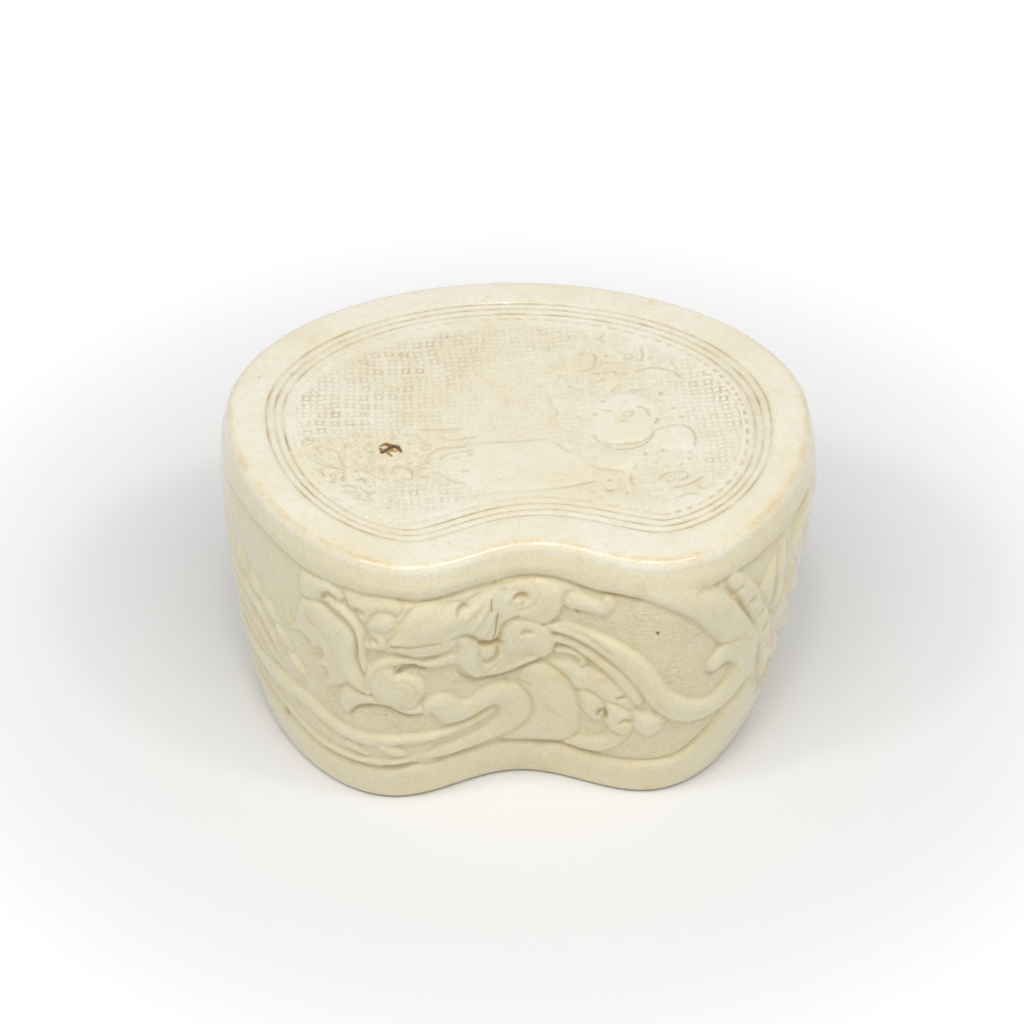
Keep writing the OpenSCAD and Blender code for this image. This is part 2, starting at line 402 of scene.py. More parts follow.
wallSet = {
    "fineStep": 0.42, "fineReach": 98.0, "step": 1.15,  # spacing of columns in the middle and beyond
    "panelLow": 12.0, "panelHigh": 101.6, "panelRows": 143,
    "ground": 1.8, "deepen": 1.4,  # how far the ground lies under the bands, and a factor on all depths
    "groove": 0.16, "grooveWidth": 0.5, "undercut": 0.36, "lip": 0.15,
    "seamFade": 8.0, "bandLow": 21, "bandHigh": 97, "bandSoft": 3,  # the bands go on to the seams
    "sideFrom": 42.0, "sideTo": 14.0, "sideShare": 0.4,
    "wave": 0.22,  # unevenness left by the pressing hand
    "plainLeft": 96, "plainUnder": 56, "plainRight": 88,  # where the hatched ground ends
}


def bead(u, z, long, tall):  # a small oval lump
    return [(u - long + tall, z, tall), (u + long - tall, z, tall)]


# the dragon among clouds and flames, in millimetres of arc and height
def mouldDragon(relief):
    top = wallSet["ground"]
    # plumes and their row of beads, at the left end
    relief.form(0, 1.5, 3,
        [(-172, 63, 2.4), (-150, 62, 2.8), (-137.8, 61.5, 3), (-126, 60.6, 3), (-116, 58, 2.8),
         (-110, 52.5, 2.4), (-106, 46, 1.2)])
    relief.form(0, 1.5, 3,
        [(-172, 52, 2.4), (-150, 52, 2.6), (-138, 52.5, 2.8), (-127.8, 51, 2.8), (-117.5, 47, 2.4),
         (-111.1, 41.5, 1.2)])
    relief.form(0, 1.5, 3,
        [(-172, 42, 2.4), (-150, 43, 2.6), (-135, 43.5, 2.6), (-124, 41.5, 2.4), (-116, 38.5, 1.2)])
    for u, z in ((-163, 75), (-152, 75), (-141, 74.4), (-131, 72.6), (-120, 69), (-109.4, 65.2), (-101.5, 58),
                 (-95.5, 50.2)):
        relief.form(0, 1.7, 3, [(u - 3.2, z + 1.6, 2.3), (u, z, 2.9), (u + 3, z - 2.4, 1.8)])
    # waves and lobes over the foot band, at the left
    relief.form(0, 0.5, 3,
        [(-185, 12), (-185, 34), (-130, 32), (-104, 34), (-84, 31), (-62, 30), (-42, 33), (-36, 28),
         (-40, 14), (-100, 8)])
    relief.form(0.2, 1.9, 1.3,
        [(-172, 25, 1.3), (-130, 25, 1.5), (-103, 22.4, 1.6), (-92, 19.2, 1.6), (-81, 18.4, 1.7),
         (-71, 18.8, 1.8), (-64, 19.3, 1.8), (-57.4, 20.2, 1.8), (-49, 21.6, 1.5), (-43, 22.8, 0.8)])
    relief.form(0.2, 1.7, 3, [(-116.5, 24.5, 3), (-112, 23.5, 3)])
    relief.form(0.3, 1.7, 3,
        [(-172, 32, 4.4), (-144, 32.6, 4.6), (-122, 33, 4.4), (-107, 34, 4.2), (-97, 34.8, 3.9),
         (-88, 34, 3.5), (-78.4, 31.5, 3.1), (-71.4, 30.3, 2.9), (-64.8, 30.2, 2.8), (-56.4, 31.7, 2.6),
         (-48.6, 33, 2.4), (-41, 33.4, 2.2), (-33.6, 33.8, 2.1), (-25.9, 34.2, 2), (-18, 35.2, 1.6),
         (-12, 37.6, 0.8)], [(-56.4, 29, 2.4), (-52.6, 27.4, 3), (-48.4, 26.4, 2.4)],
        [(-75.5, 24.2, 1.2), (-69.4, 24.6, 2.5), (-63, 23, 1.4)],
        [(-88.4, 26.6, 0.8), (-82.6, 25.2, 2.2), (-78, 23.4, 0.8)],
        [(-101, 26.6, 0.8), (-97.4, 25.2, 1.8), (-93, 23.6, 0.7)])
    # flame leaf with its teeth, the drop leaf under it, and the loop above
    relief.form(0, 1.2, 1.8, [(-96.8, 76, 0.8), (-98.3, 71.5, 1.8), (-97, 68.4, 1.5), (-93.8, 67.6, 0.6)])
    relief.form(0, 1.35, 3,
        [(-92.5, 76), (-93.6, 71), (-98.4, 64.4), (-94, 66), (-90.5, 68), (-86, 66.2), (-87.8, 62.8),
         (-83.6, 64.6), (-80.8, 66), (-80.3, 62), (-84.4, 56.5), (-81.5, 57.2), (-79, 57.8), (-78.6, 54),
         (-80, 50), (-76.4, 50.8), (-72.4, 53), (-69, 56), (-66, 60), (-70, 70), (-76, 78), (-84, 84),
         (-89.5, 82)])
    relief.form(0.75, 1.75, 3,
        [(-88.5, 84), (-86, 78.5), (-81.2, 75.8), (-79, 74.9), (-76.9, 72.9), (-74.8, 70.4), (-73.8, 67.2),
         (-72.6, 63), (-70.5, 59), (-67, 56.3), (-62.4, 54.4), (-58.6, 54.8), (-60.5, 59.1), (-62.6, 63.1),
         (-64.1, 66.2), (-64.8, 69.6), (-64.4, 74.5), (-64.6, 78), (-65.6, 81.2), (-68, 83.4),
         (-71.6, 84.8), (-75.4, 86), (-78.9, 87.6), (-83.5, 87.4)])
    relief.form(0, 1.4, 4,
        [(-71.2, 53.5), (-73.5, 49), (-73.9, 44.9), (-72.4, 41.2), (-69.8, 40.6), (-67.2, 44.2),
         (-64.5, 46.8), (-61.1, 48.5), (-57.5, 49.5), (-53.6, 49.5), (-50.8, 48.5), (-48.2, 47.2),
         (-45.4, 46.2), (-42.4, 46.1), (-39.5, 46.1), (-36, 45.8), (-36, 50.5), (-44, 50.2), (-48, 50.4),
         (-51.8, 50.9), (-54.4, 51.8), (-57, 53), (-60, 53.6), (-63.2, 54.2), (-66.5, 55), (-69.4, 55)])
    relief.cut(0.5,
        [(-69.8, 40.2, 0.1), (-67.2, 43.8, 0.3), (-64.5, 46.2, 0.4), (-61.1, 48, 0.4), (-57.5, 49, 0.4),
         (-53.6, 49, 0.4), (-50.8, 48, 0.3), (-48.2, 46.8, 0.3), (-45.4, 45.7, 0.2), (-40, 45.5, 0.1)])
    relief.form(0, 1.5, 3,
        [(-88.6, 97), (-88.9, 88), (-86, 85.6), (-80, 88), (-75, 89), (-71, 91.4), (-68, 95), (-67, 99.5),
         (-78, 101)])
    relief.cut(0.9, [(-77.9, 90.4, 0.3), (-76.6, 92.6, 0.7), (-74.4, 93.8, 0.7), (-72.2, 93, 0.3)])
    relief.form(0.8, 1.6, 1.7,
        [(-73.5, 90.4, 1.3), (-69.4, 89.4, 1.7), (-65.4, 86.8, 1.9), (-62.8, 82.9, 1.7), (-61.9, 77.8, 1.5),
         (-61.9, 71.8, 1.5), (-60.9, 66.5, 1.6), (-58.8, 62.6, 1.3)])
    # arch strand and the scrolled curl
    relief.form(0, 1.5, 2.2,
        [(-60.6, 57.1, 1.6), (-60, 61.2, 2.1), (-57.9, 65.8, 2.4), (-54.8, 69.5, 2.4), (-51, 71.6, 2.2),
         (-47.5, 72.6, 1.8), (-44, 72.6, 1.5), (-40.5, 71.6, 1.3), (-36, 70.4, 1)],
        [(-59.6, 57), (-58.5, 53.1), (-55.5, 51.5), (-51.8, 50.4), (-48.1, 49.8), (-44.5, 49.4),
         (-42, 50.6), (-40.6, 53.5), (-38.6, 56.1), (-37.9, 58.5), (-38.6, 61.6), (-40.6, 64.4),
         (-43.4, 66), (-46.2, 66.6), (-48.8, 66), (-50.5, 69.5), (-54.5, 69), (-58.6, 64)])
    relief.cut(0.8,
        [(-48.9, 66.4, 0.2), (-46.5, 68.8, 0.5), (-44, 69.7, 0.6), (-41.6, 69.6, 0.5), (-38.9, 68.6, 0.2)])
    relief.cut(0.22,
        [(-50, 62.4, 0.1), (-47, 63.4, 0.3), (-43.8, 62, 0.4), (-42, 58.6, 0.4), (-42.6, 54.8, 0.4),
         (-45, 52.4, 0.3), (-48, 52, 0.1)], stain=0.15)
    relief.cut(0.12, [(-48.6, 60, 0.1), (-46, 59.6, 0.3), (-45, 57, 0.3), (-46.4, 55.2, 0.1)], stain=0.1)
    # haunch, mane band and the cloud below it
    relief.form(0, 1.6, 7,
        [(2.8, 60.2), (6.2, 58.6), (9.9, 55.9), (13, 52.2), (15, 48.8), (16.9, 45.2), (18, 40.4),
         (18.6, 35.1), (19, 29.5), (18.2, 25.8), (16.8, 22.9), (14.4, 20.1), (11.5, 18.6), (5.9, 17.8),
         (0.2, 17.6), (-5.4, 18.4), (-9, 22), (-4, 34), (-4, 48), (-4, 56), (-1, 60)])
    relief.cut(0.2, [(5.8, 38.5, 0.5), (8.4, 36.4, 0.9), (11.6, 33.9, 0.5)], stain=0.1)
    relief.cut(0.4, [(-3, 51, 0.2), (-0.1, 49.2, 0.2)], stain=0.3)
    relief.form(0, 1.5, 4,
        [(13.4, 18.8), (15.6, 22.6), (18.4, 25), (22.2, 25.9), (25.9, 27.4), (28.2, 29.8), (29.2, 33.4),
         (33.1, 33), (37.8, 33.4), (36.9, 29.8), (35.6, 26.5), (33.6, 22.9), (30.4, 19.8), (26.4, 18),
         (21.6, 17.4), (17.4, 17.8)])
    relief.form(0, 1.4, 4,
        [(5, 61), (12, 62), (18, 61.4), (24, 60.4), (30, 57.4), (34.5, 53), (37.5, 48), (38, 44.5),
         (27, 46), (20, 49), (15, 49.5), (12, 54), (8, 57.5)])
    relief.form(0, 1.6, 4,
        [(36, 45), (40.4, 44.6), (44, 44.6), (47.6, 43.6), (50.6, 40.9), (50.2, 38.2), (49.2, 35.2),
         (47.4, 33.2), (44.9, 32.5), (42.2, 33.1), (40.2, 34.4), (38.5, 36)])
    relief.form(0, 1.7, 4,
        [(26.4, 47.1), (29.6, 47.8), (31.9, 47.4), (34.2, 46.5), (36.4, 44.4), (38.2, 40.5), (38.8, 36),
         (37.5, 32.8), (34.9, 31), (32.1, 31.8), (30, 33.2), (28.2, 34.9), (27.2, 36.8), (27, 41)])
    relief.form(0, 1.7, 4,
        [(16.3, 48.4), (19, 50.6), (22, 50.2), (24.4, 49), (26.4, 47.1), (27.3, 43.2), (27.8, 39.1),
         (27.2, 36.8), (24.2, 35.9), (22, 36.4), (19.8, 38.2), (18.3, 40), (16.8, 43.6)])
    relief.cut(0.9,
        [(25, 39.6, 0.2), (25.1, 41.2, 0.5), (26.1, 42.3, 0.6), (27.4, 41.4, 0.5), (27.6, 39.1, 0.3)])
    relief.cut(0.6, [(33.6, 38.4, 0.2), (34.6, 39.9, 0.3), (36.1, 40.1, 0.3), (37, 39.2, 0.2)])
    relief.swellUp(0.35, bead(34.7, 36.2, 1.6, 1.2))
    # low plate behind the head
    relief.form(0, 0.9, 4,
        [(-70, 101), (-66, 93), (-60, 84), (-54, 76), (-40, 75), (-26, 72), (-10, 76), (4, 79), (9, 86),
         (9, 101)])
    # rim band running down into the strap, with its hooked tip
    relief.form(0, top, 2.6,
        [(-185, 98.8), (-137, 98.8), (-122, 99), (-108, 99.2), (-97, 98.4), (-85, 97.6), (-69.6, 98.2),
         (-61.6, 98.5), (-54.2, 99.4), (-47.2, 99.6), (-40.4, 99.1), (-35.2, 98.9), (-28.1, 99.4),
         (-18.9, 99.5), (-11.6, 98.9), (-8.1, 99.5), (0.2, 99.4), (8.5, 98.8), (15.2, 97.5), (21.6, 97),
         (29.5, 97.6), (36.4, 97.2), (44, 96.4), (60, 98), (74, 99), (100, 99), (130, 98.8), (185, 98.8),
         (200, 125), (-200, 125)],
        [(39, 104, 6.8), (47, 101, 7), (54, 97, 7), (62, 91, 7.2), (69, 82, 7.2), (75, 74, 7),
         (80, 66, 7.5), (84, 58, 8), (83, 49.5, 8), (77, 43.4, 6.4), (70, 41, 5.5), (63.5, 41.4, 5.3),
         (57, 43.8, 5.3), (51, 47.7, 5.3), (46.2, 52.2, 5), (42, 58.4, 5), (37.5, 64.4, 5.3),
         (32, 69.4, 5.3), (26, 72.8, 4.8), (19, 75.3, 3.8), (12, 76.9, 3.1), (5, 77.5, 2.2)],
        [(71, 74), (70.5, 70.8), (68, 68.4), (65.4, 65.4), (64.4, 62), (65, 59), (67.6, 58.2), (71.4, 59.4),
         (75.4, 58.8), (78.6, 55.4), (80, 60), (78, 68), (74, 74)])
    relief.cut(0.35,
        [(-64, 97.9, 0.1), (-54.2, 98.8, 0.2), (-47.2, 99, 0.2), (-40.4, 98.5, 0.2), (-28.1, 98.8, 0.2),
         (-18.9, 98.9, 0.2), (-11.6, 98.3, 0.2), (0.2, 98.8, 0.25), (8.5, 98.2, 0.25), (15.2, 96.9, 0.2),
         (21.6, 96.4, 0.2), (29.5, 97, 0.15), (36.4, 96.6, 0.1)], stain=0.7)
    relief.cut(0.45,
        [(8.8, 78.3, 0.2), (14, 77.8, 0.4), (19.4, 75.9, 0.5), (23.9, 73.6, 0.5),
         (27.6, 71.5, 0.2)], stain=0.3)
    relief.cut(0.35,
        [(64.8, 59, 0.2), (67.6, 57.6, 0.3), (71.6, 58.8, 0.4), (75.6, 58, 0.4), (78.2, 54.8, 0.2)])
    relief.cut(0.25, [(70.5, 70.4, 0.3), (75, 69.8, 0.6), (80, 67.6, 0.6), (85, 64.4, 0.3)], stain=0.2)
    relief.cut(0.35, [(57, 98.2, 0.3), (59.4, 99, 0.7), (62, 98, 0.3)], stain=0.4)
    # beads and leaves to the right of the strap
    relief.form(0.9, 1.5, 3,
        [(73, 97, 3), (78, 91, 3.6), (84, 81.5, 4.2), (90, 72, 4.2), (94.5, 61, 4.2), (99, 50, 4),
         (103, 40, 3), (106, 30, 1.5)])
    for u, z in ((75.4, 88.6), (82.6, 79), (92, 69), (96.6, 58), (101, 46.4)):
        relief.swellUp(0.3, [(u - 1, z + 0.8, 0.3), (u + 1, z - 0.8, 0.3)])
    for u, z in ((75.3, 92.4), (82, 83.4), (89.4, 73.4), (93.5, 63.8), (98.6, 52.1), (97, 31.2)):
        relief.cut(0.55, [(u - 1.6, z - 0.4, 0.1), (u, z + 0.2, 0.45), (u + 1.4, z + 0.2, 0.1)])
    relief.form(0, 1.6, 4,
        [(103.8, 97.4), (99.5, 96), (96.5, 94), (93.6, 91.6), (90.5, 89.2), (88.2, 86), (87.2, 83),
         (89, 79), (92.5, 73), (96, 69), (99.5, 65.5), (102, 66.5), (106, 69), (106.8, 74), (105, 84),
         (104.6, 92)])
    relief.cut(0.8,
        [(100, 95, 0.1), (97.8, 92.5, 0.3), (95.9, 86.8, 0.5), (96, 80.9, 0.6), (96.6, 75.9, 0.5),
         (96.9, 71, 0.2)], stain=0.4)
    relief.form(0, 1.5, 2.4, [(113, 71, 1), (107.8, 66.5, 2.2), (102.5, 63.5, 2.4), (99, 59.5, 1.2)])
    relief.form(0, 1.6, 3,
        [(131, 97, 1.5), (123.6, 94.8, 3), (118.2, 93, 3.4), (114.6, 90.8, 3), (111.5, 88, 2.2),
         (108.8, 86, 0.8)])
    relief.form(0, 1.4, 4, [(112, 80, 1), (116, 72, 4), (122, 63, 5), (130, 55, 4), (138, 51, 1)])
    relief.form(0, 1.4, 4, [(107, 50, 1), (111, 43, 3.5), (118, 34, 4), (128, 24, 3), (134, 19, 1)])
    relief.form(0, 1.4, 4, [(95, 37, 1), (99, 30, 2.6), (106, 24, 2.6), (114, 19, 1.4)])
    relief.form(0, 1.5, 4, [(128, 86, 1), (134, 78, 4.5), (143, 69, 5.5), (154, 63, 4), (168, 61, 2)])
    relief.form(0, 1.3, 4, [(122, 44, 1), (130, 38, 4), (142, 33, 5), (156, 31, 4), (170, 30, 2)])
    relief.form(0, 1.3, 4, [(138, 94), (143, 88), (151, 87), (156, 91), (153, 95), (146, 96)])
    # foot band with the riser at its right
    relief.form(0, top, 2.6,
        [(-185, 18), (-130, 18), (-98.6, 16.8), (-92.6, 15.8), (-86.9, 15.4), (-78.9, 15.2), (-71.2, 15.9),
         (-64.1, 16.7), (-57.5, 17.2), (-51.2, 18.1), (-44.5, 19.4), (-36, 18.5), (-29, 19), (-20, 18.2),
         (-8, 18.6), (0, 17.6), (6, 17), (13, 17.6), (24, 16.8), (31, 16.4), (40, 16.8), (52, 17.8),
         (90, 17), (130, 18), (185, 18), (200, -10), (-200, -10)],
        [(50, 14), (58, 18), (63, 20.4), (68, 24), (73, 28.5), (76, 33), (78, 37), (85, 38), (91, 39.5),
         (96, 35.5), (102, 28.5), (109, 22.5), (118, 18.6), (124, 14), (60, 8)])
    relief.cut(0.3,
        [(-8, 19.2, 0.1), (0, 18.2, 0.2), (6, 17.6, 0.2), (13, 18.2, 0.2), (24, 17.4, 0.2), (31, 17, 0.2),
         (40, 17.4, 0.2), (52, 18.4, 0.2), (63, 21, 0.2), (73, 29, 0.1)], stain=0.45)
    relief.cut(0.7,
        [(-34.5, 21.4, 0.5), (-32.4, 21.7, 0.6), (-31, 21.4, 0.3)], [(-111, 17, 0.6), (-109, 17, 0.6)])
    relief.cut(0.4, [(-56, 17.8, 0.1), (-50, 18.6, 0.3), (-45, 19.5, 0.2), (-42, 19.6, 0.1)])
    # the long body in its loop
    relief.form(0, 1.7, 5,
        [(-40, 51), (-38.8, 53.2), (-35.8, 54.5), (-32.1, 54.4), (-29.1, 53.2), (-26.5, 50.6), (-23.8, 48),
         (-21, 48), (-18.4, 50.2), (-14.5, 51.6), (-10.9, 51.6), (-7.1, 50.8), (-3.6, 49), (-0.8, 46.1),
         (1.2, 41.9), (2.2, 37.6), (1.9, 33.2), (0.6, 30), (-1.2, 26.8), (-3.9, 24.2), (-7.5, 22.5),
         (-10.5, 21.2), (-15.2, 20.3), (-19.4, 20.1), (-23.5, 19.8), (-27.6, 19.6), (-31.6, 19.8),
         (-38, 21), (-45, 23.5), (-45, 25.2), (-39.5, 25.6), (-33.8, 27.4), (-27.8, 28), (-23.6, 28.4),
         (-19.6, 29.4), (-13.8, 31.2), (-10.8, 34.6), (-10.2, 38), (-11.5, 40.1), (-14.1, 40), (-18, 38.4),
         (-22, 37.1), (-25.9, 36.9), (-29.9, 37.7), (-32.5, 39.4), (-34.4, 43.2), (-36.6, 46),
         (-39.5, 46.8)])
    # mane strands, from the cheek back under the strap
    relief.form(0.2, 1.5, 2.6,
        [(8, 71.8, 2), (13, 70.6, 2.2), (18, 68.4, 2.3), (24, 65, 2.6), (30, 60.7, 2.8), (35, 55.4, 2.8),
         (38.5, 50, 2.2)])
    relief.cut(0.4,
        [(8.4, 69.6, 0.2), (11.2, 69.2, 0.4), (14.1, 67.8, 0.5), (17, 65.8, 0.5),
         (20.1, 63.6, 0.3)], stain=0.4)
    relief.form(0.3, 1.4, 1.5,
        [(8, 66.3, 1), (12, 67, 1.3), (15.6, 65.8, 1.4), (17.4, 63.6, 1.4), (16, 61.8, 1)])
    relief.cut(0.4, [(31, 50.5, 0.2), (33.5, 51.5, 0.2)], stain=0.7)
    # ear under the rim, and the face to the left of it
    relief.form(0, 1.5, 2.4,
        [(9, 90.5), (10.4, 93.6), (13.1, 95.1), (16, 95), (18.8, 93.8), (21.6, 93.8), (23.1, 96.2),
         (25.9, 96.5), (27.2, 94.6), (26.9, 91.6), (25.1, 88.6), (23, 87.1), (19.5, 87), (15.2, 87),
         (11.9, 86.6), (9.4, 87.5)])
    # lower lip and the strands that fan out to the cheek
    relief.form(0, 1.4, 2.6, [(-41, 70.8, 1), (-35, 70.4, 2.2), (-30, 71, 2.8), (-26, 70, 2.8)])
    relief.form(0, 1.2, 2.4,
        [(-25, 65.1), (-23.1, 61.4), (-20.8, 58.4), (-18.5, 56.9), (-14.6, 56.2), (-9.9, 56.1), (-5.6, 57),
         (-1.6, 59.4), (2, 61.2), (3, 64), (-2, 67), (-9, 70), (-12, 72), (-18, 74), (-24, 72)])
    relief.form(0.7, 1.5, 1.4,
        [(-14, 57.3, 0.7), (-9.1, 58, 1.2), (-4, 60.1, 1.5), (0.4, 62.3, 1.4), (3, 63.6, 0.9)])
    relief.form(0.7, 1.5, 1.3, [(-16, 58.2, 0.8), (-12.1, 59.8, 1.2), (-8.6, 62.4, 1.2), (-6.1, 64.2, 0.9)])
    relief.form(0.7, 1.6, 1.5,
        [(-18.5, 59.2, 1.3), (-16.2, 61, 1.5), (-13.6, 63, 1.4), (-11.1, 65, 1.2), (-9, 66.8, 0.8)])
    relief.cut(0.5,
        [(-26, 63.4, 0.1), (-22.7, 58.8, 0.3), (-18.7, 56.1, 0.4), (-14.6, 55.5, 0.4), (-9.9, 55.4, 0.3),
         (-5.6, 56.3, 0.3), (-1.6, 58.7, 0.2), (2, 60.4, 0.1)])
    # muzzle plate, nose lobe, curl, upper jaw
    relief.form(0, 1.2, 3,
        [(-69, 99), (-60, 99.6), (-50, 100), (-46, 97), (-48, 92), (-52, 93), (-57, 91), (-59, 87),
         (-61, 86.5), (-64, 89.5), (-68, 93)])
    relief.cut(0.7, [(-64.1, 91.2, 0.6), (-62.7, 91.5, 0.9), (-61.4, 91.3, 0.6)])
    relief.form(0, 1.5, 2.4,
        [(-52.2, 77.5), (-51.8, 80.4), (-52.4, 83), (-54.1, 84), (-57.1, 83.1), (-59.5, 81), (-60.6, 78),
         (-60.2, 75.4), (-56.4, 75.8)])
    relief.cut(0.9, [(-59.3, 78.8, 0.2), (-58.6, 80.2, 0.5), (-56.9, 80.7, 0.6), (-55.8, 80, 0.3)])
    relief.form(0, 1.6, 4,
        [(-52.2, 77.5), (-52.1, 80.8), (-50.6, 83.4), (-48.5, 86.5), (-46.8, 91), (-44.4, 95.1),
         (-41.8, 97.4), (-38.4, 98.2), (-34.9, 98), (-31.2, 96.7), (-28.4, 96.8), (-25.5, 96.1),
         (-23.6, 95), (-21.8, 96.2), (-18.1, 97), (-14.5, 97.6), (-11.6, 97.1), (-10.1, 95), (-9.8, 91),
         (-9.5, 84), (-10.5, 77), (-13, 73), (-17, 74.5), (-21, 77), (-25.4, 77.4), (-28, 75.5),
         (-32.4, 74.1), (-35.2, 74), (-38.8, 74), (-42.2, 74.1), (-45.6, 75.1), (-49.1, 76)])
    relief.form(1.15, 1.65, 4,
        [(-13.5, 97.8), (-14, 92), (-13, 86), (-11, 81), (-4, 80), (3, 79), (7, 82), (8.5, 88), (8, 95),
         (2, 98), (-4, 98.8), (-9, 98.6)])
    relief.form(1.0, 1.9, 1.7,
        [(-9.6, 93.8, 0.7), (-8.2, 95.8, 1.1), (-5.4, 96.6, 1.5), (-2.2, 95.6, 1.8), (-0.2, 92.8, 1.9),
         (-0.8, 89.6, 1.8), (-3.6, 87.8, 1.5), (-6.8, 88.4, 1.1), (-8.4, 90.2, 0.6)])
    relief.cut(1.0, [(-6.2, 92, 0.4), (-4.8, 92.6, 0.8), (-3.4, 92.3, 0.7), (-2.8, 91.6, 0.3)])
    relief.cut(0.4, [(-11, 98.2, 0.2), (-10.4, 96.6, 0.4), (-9.6, 95.2, 0.2)], stain=0.3)
    relief.form(0, 1.6, 3,
        [(-59.4, 84.4), (-57.1, 84.6), (-54.9, 85.2), (-53.1, 84.8), (-51.2, 84.9), (-49.3, 86.9),
         (-48.2, 89.6), (-49, 92.6), (-51.2, 93.9), (-54, 93.6), (-56.9, 91.8), (-59, 88.2)])
    relief.cut(0.3,
        [(-50.8, 79.6, 0.1), (-47.2, 80.2, 0.2), (-43.9, 80.2, 0.2), (-40.4, 80.7, 0.2), (-36.9, 80.8, 0.2),
         (-33.4, 80.8, 0.1)], stain=0.9)
    relief.swellUp(0.22, bead(-37.5, 86.8, 2.6, 2.2))
    relief.swellUp(0.3, bead(-29.6, 90.2, 3, 2.6))
    relief.cut(0.9,
        [(-26.6, 91.2, 0.2), (-26.4, 92.6, 0.5), (-25.4, 93.3, 0.6), (-24, 93.2, 0.5), (-23.2, 92.8, 0.2)])
    for strand in ([(-25.6, 87, 1), (-22.6, 90.2, 1.7), (-18.8, 92.6, 1)],
                   [(-22, 81.6, 1), (-19.2, 86, 1.9), (-16, 90.2, 1.1)],
                   [(-17.4, 78.6, 1), (-15.4, 82.6, 1.6), (-13.8, 87, 0.9)]):
        relief.form(1.25, 2.1, 1.5, strand)
    relief.cut(0.5,
        [(-29.1, 81.1, 0.2), (-26.9, 81.3, 0.3), (-24.8, 81.2, 0.4), (-22.5, 80.1, 0.4), (-20.6, 78, 0.4),
         (-19.3, 76, 0.2)], stain=0.4)
    # fang lobe, boss and cheek
    relief.form(0.3, 1.8, 3.6,
        [(-27.4, 79.6), (-24.6, 80.6), (-21.8, 79), (-19.5, 76.2), (-18.2, 73), (-18.4, 69.2),
         (-18.2, 65.4), (-17.4, 61), (-16.8, 58.2), (-19.2, 57.2), (-21.1, 59), (-23.1, 61.9), (-25, 65.1),
         (-27.2, 68), (-27.6, 71), (-26.5, 73.9), (-26.9, 77)])
    relief.form(0.3, 1.8, 3.2, [(-15.2, 68.9, 3.2), (-14.6, 68.8, 3.2)])
    relief.cut(0.5,
        [(-11.8, 69.8, 0.2), (-11.7, 66.8, 0.4), (-13.2, 65, 0.5), (-15.5, 64.7, 0.4), (-17.3, 65.8, 0.2)])
    relief.cut(0.9,
        [(-18, 74.2, 0.2), (-16, 73, 0.5), (-13.9, 72.3, 0.5), (-12, 72.2, 0.4), (-10.8, 72.4, 0.2)])
    relief.form(0.8, 1.9, 5,
        [(-10.6, 73.9), (-10.1, 69), (-8.8, 66.6), (-6.5, 64.8), (-3.5, 64.9), (-0.8, 64.7), (1.2, 63.7),
         (3, 62.6), (4.6, 63.1), (6.2, 65), (7.1, 68.6), (7, 72.4), (5.9, 75.1), (3.8, 77.8), (0.8, 80.4),
         (-2.6, 82), (-5.6, 82.4), (-8.4, 80.9), (-10, 78)])
    relief.cut(0.6, [(-3.8, 75.5, 0.3), (-2.5, 76, 0.7), (-0.8, 75.5, 0.4)], stain=0.4)
    relief.cut(0.5, [(-9.8, 80.8, 0.2), (-8.4, 82.2, 0.4), (-6.6, 82.8, 0.5), (-5.2, 83, 0.3)])


def fireFlaws(relief):  # firing crack over the face, and flaws of the glaze
    relief.cut(0.2,
        [(-14.4, 93.4, 0.02), (-14.6, 91, 0.02), (-14.4, 88.4, 0.02)],
        [(-12.2, 87.2, 0.02), (-12.6, 83.1, 0.02), (-12.9, 78.5, 0.02), (-13.5, 74.9, 0.02),
         (-14, 72.4, 0.02)], stain=0.6)
    relief.cut(0.3, [(10, 87.4, 0.3), (10.6, 87, 0.3)], [(13, 86.8, 0.3), (14.2, 85.8, 0.3)], stain=1)
    relief.spot(0.7, [(42.5, 83.2, 0.2), (43, 82.9, 0.2)])
    relief.spot(0.34,
        [(-14.4, 93.4, 0.02), (-14.6, 91, 0.06), (-14.4, 88.4, 0.02)],
        [(-12.2, 87.2, 0.02), (-12.6, 83.1, 0.08), (-12.9, 78.5, 0.08), (-13.6, 74.5, 0.02)])
    relief.spot(0.24,
        [(-50, 79.4, 0.05), (-47.2, 80, 0.1), (-43.9, 80, 0.1), (-40.4, 80.5, 0.1), (-35, 80.7, 0.05)],
        [(-36.6, 66.8, 0.1), (-36, 66, 0.2)], [(-30.6, 69, 0.1), (-29.6, 68.4, 0.2)])
    relief.spot(0.26,
        [(31, 50.5, 0.05), (33.5, 51.5, 0.05)], [(-42.5, 33, 0.05), (-42.4, 31, 0.05)],
        [(-86.8, 14.4, 0.1), (-86.3, 12.5, 0.1)])


glazeMarks = ("line", "pool", "crest", "wear", "flaw", "ground")  # what the glaze reads from a mesh


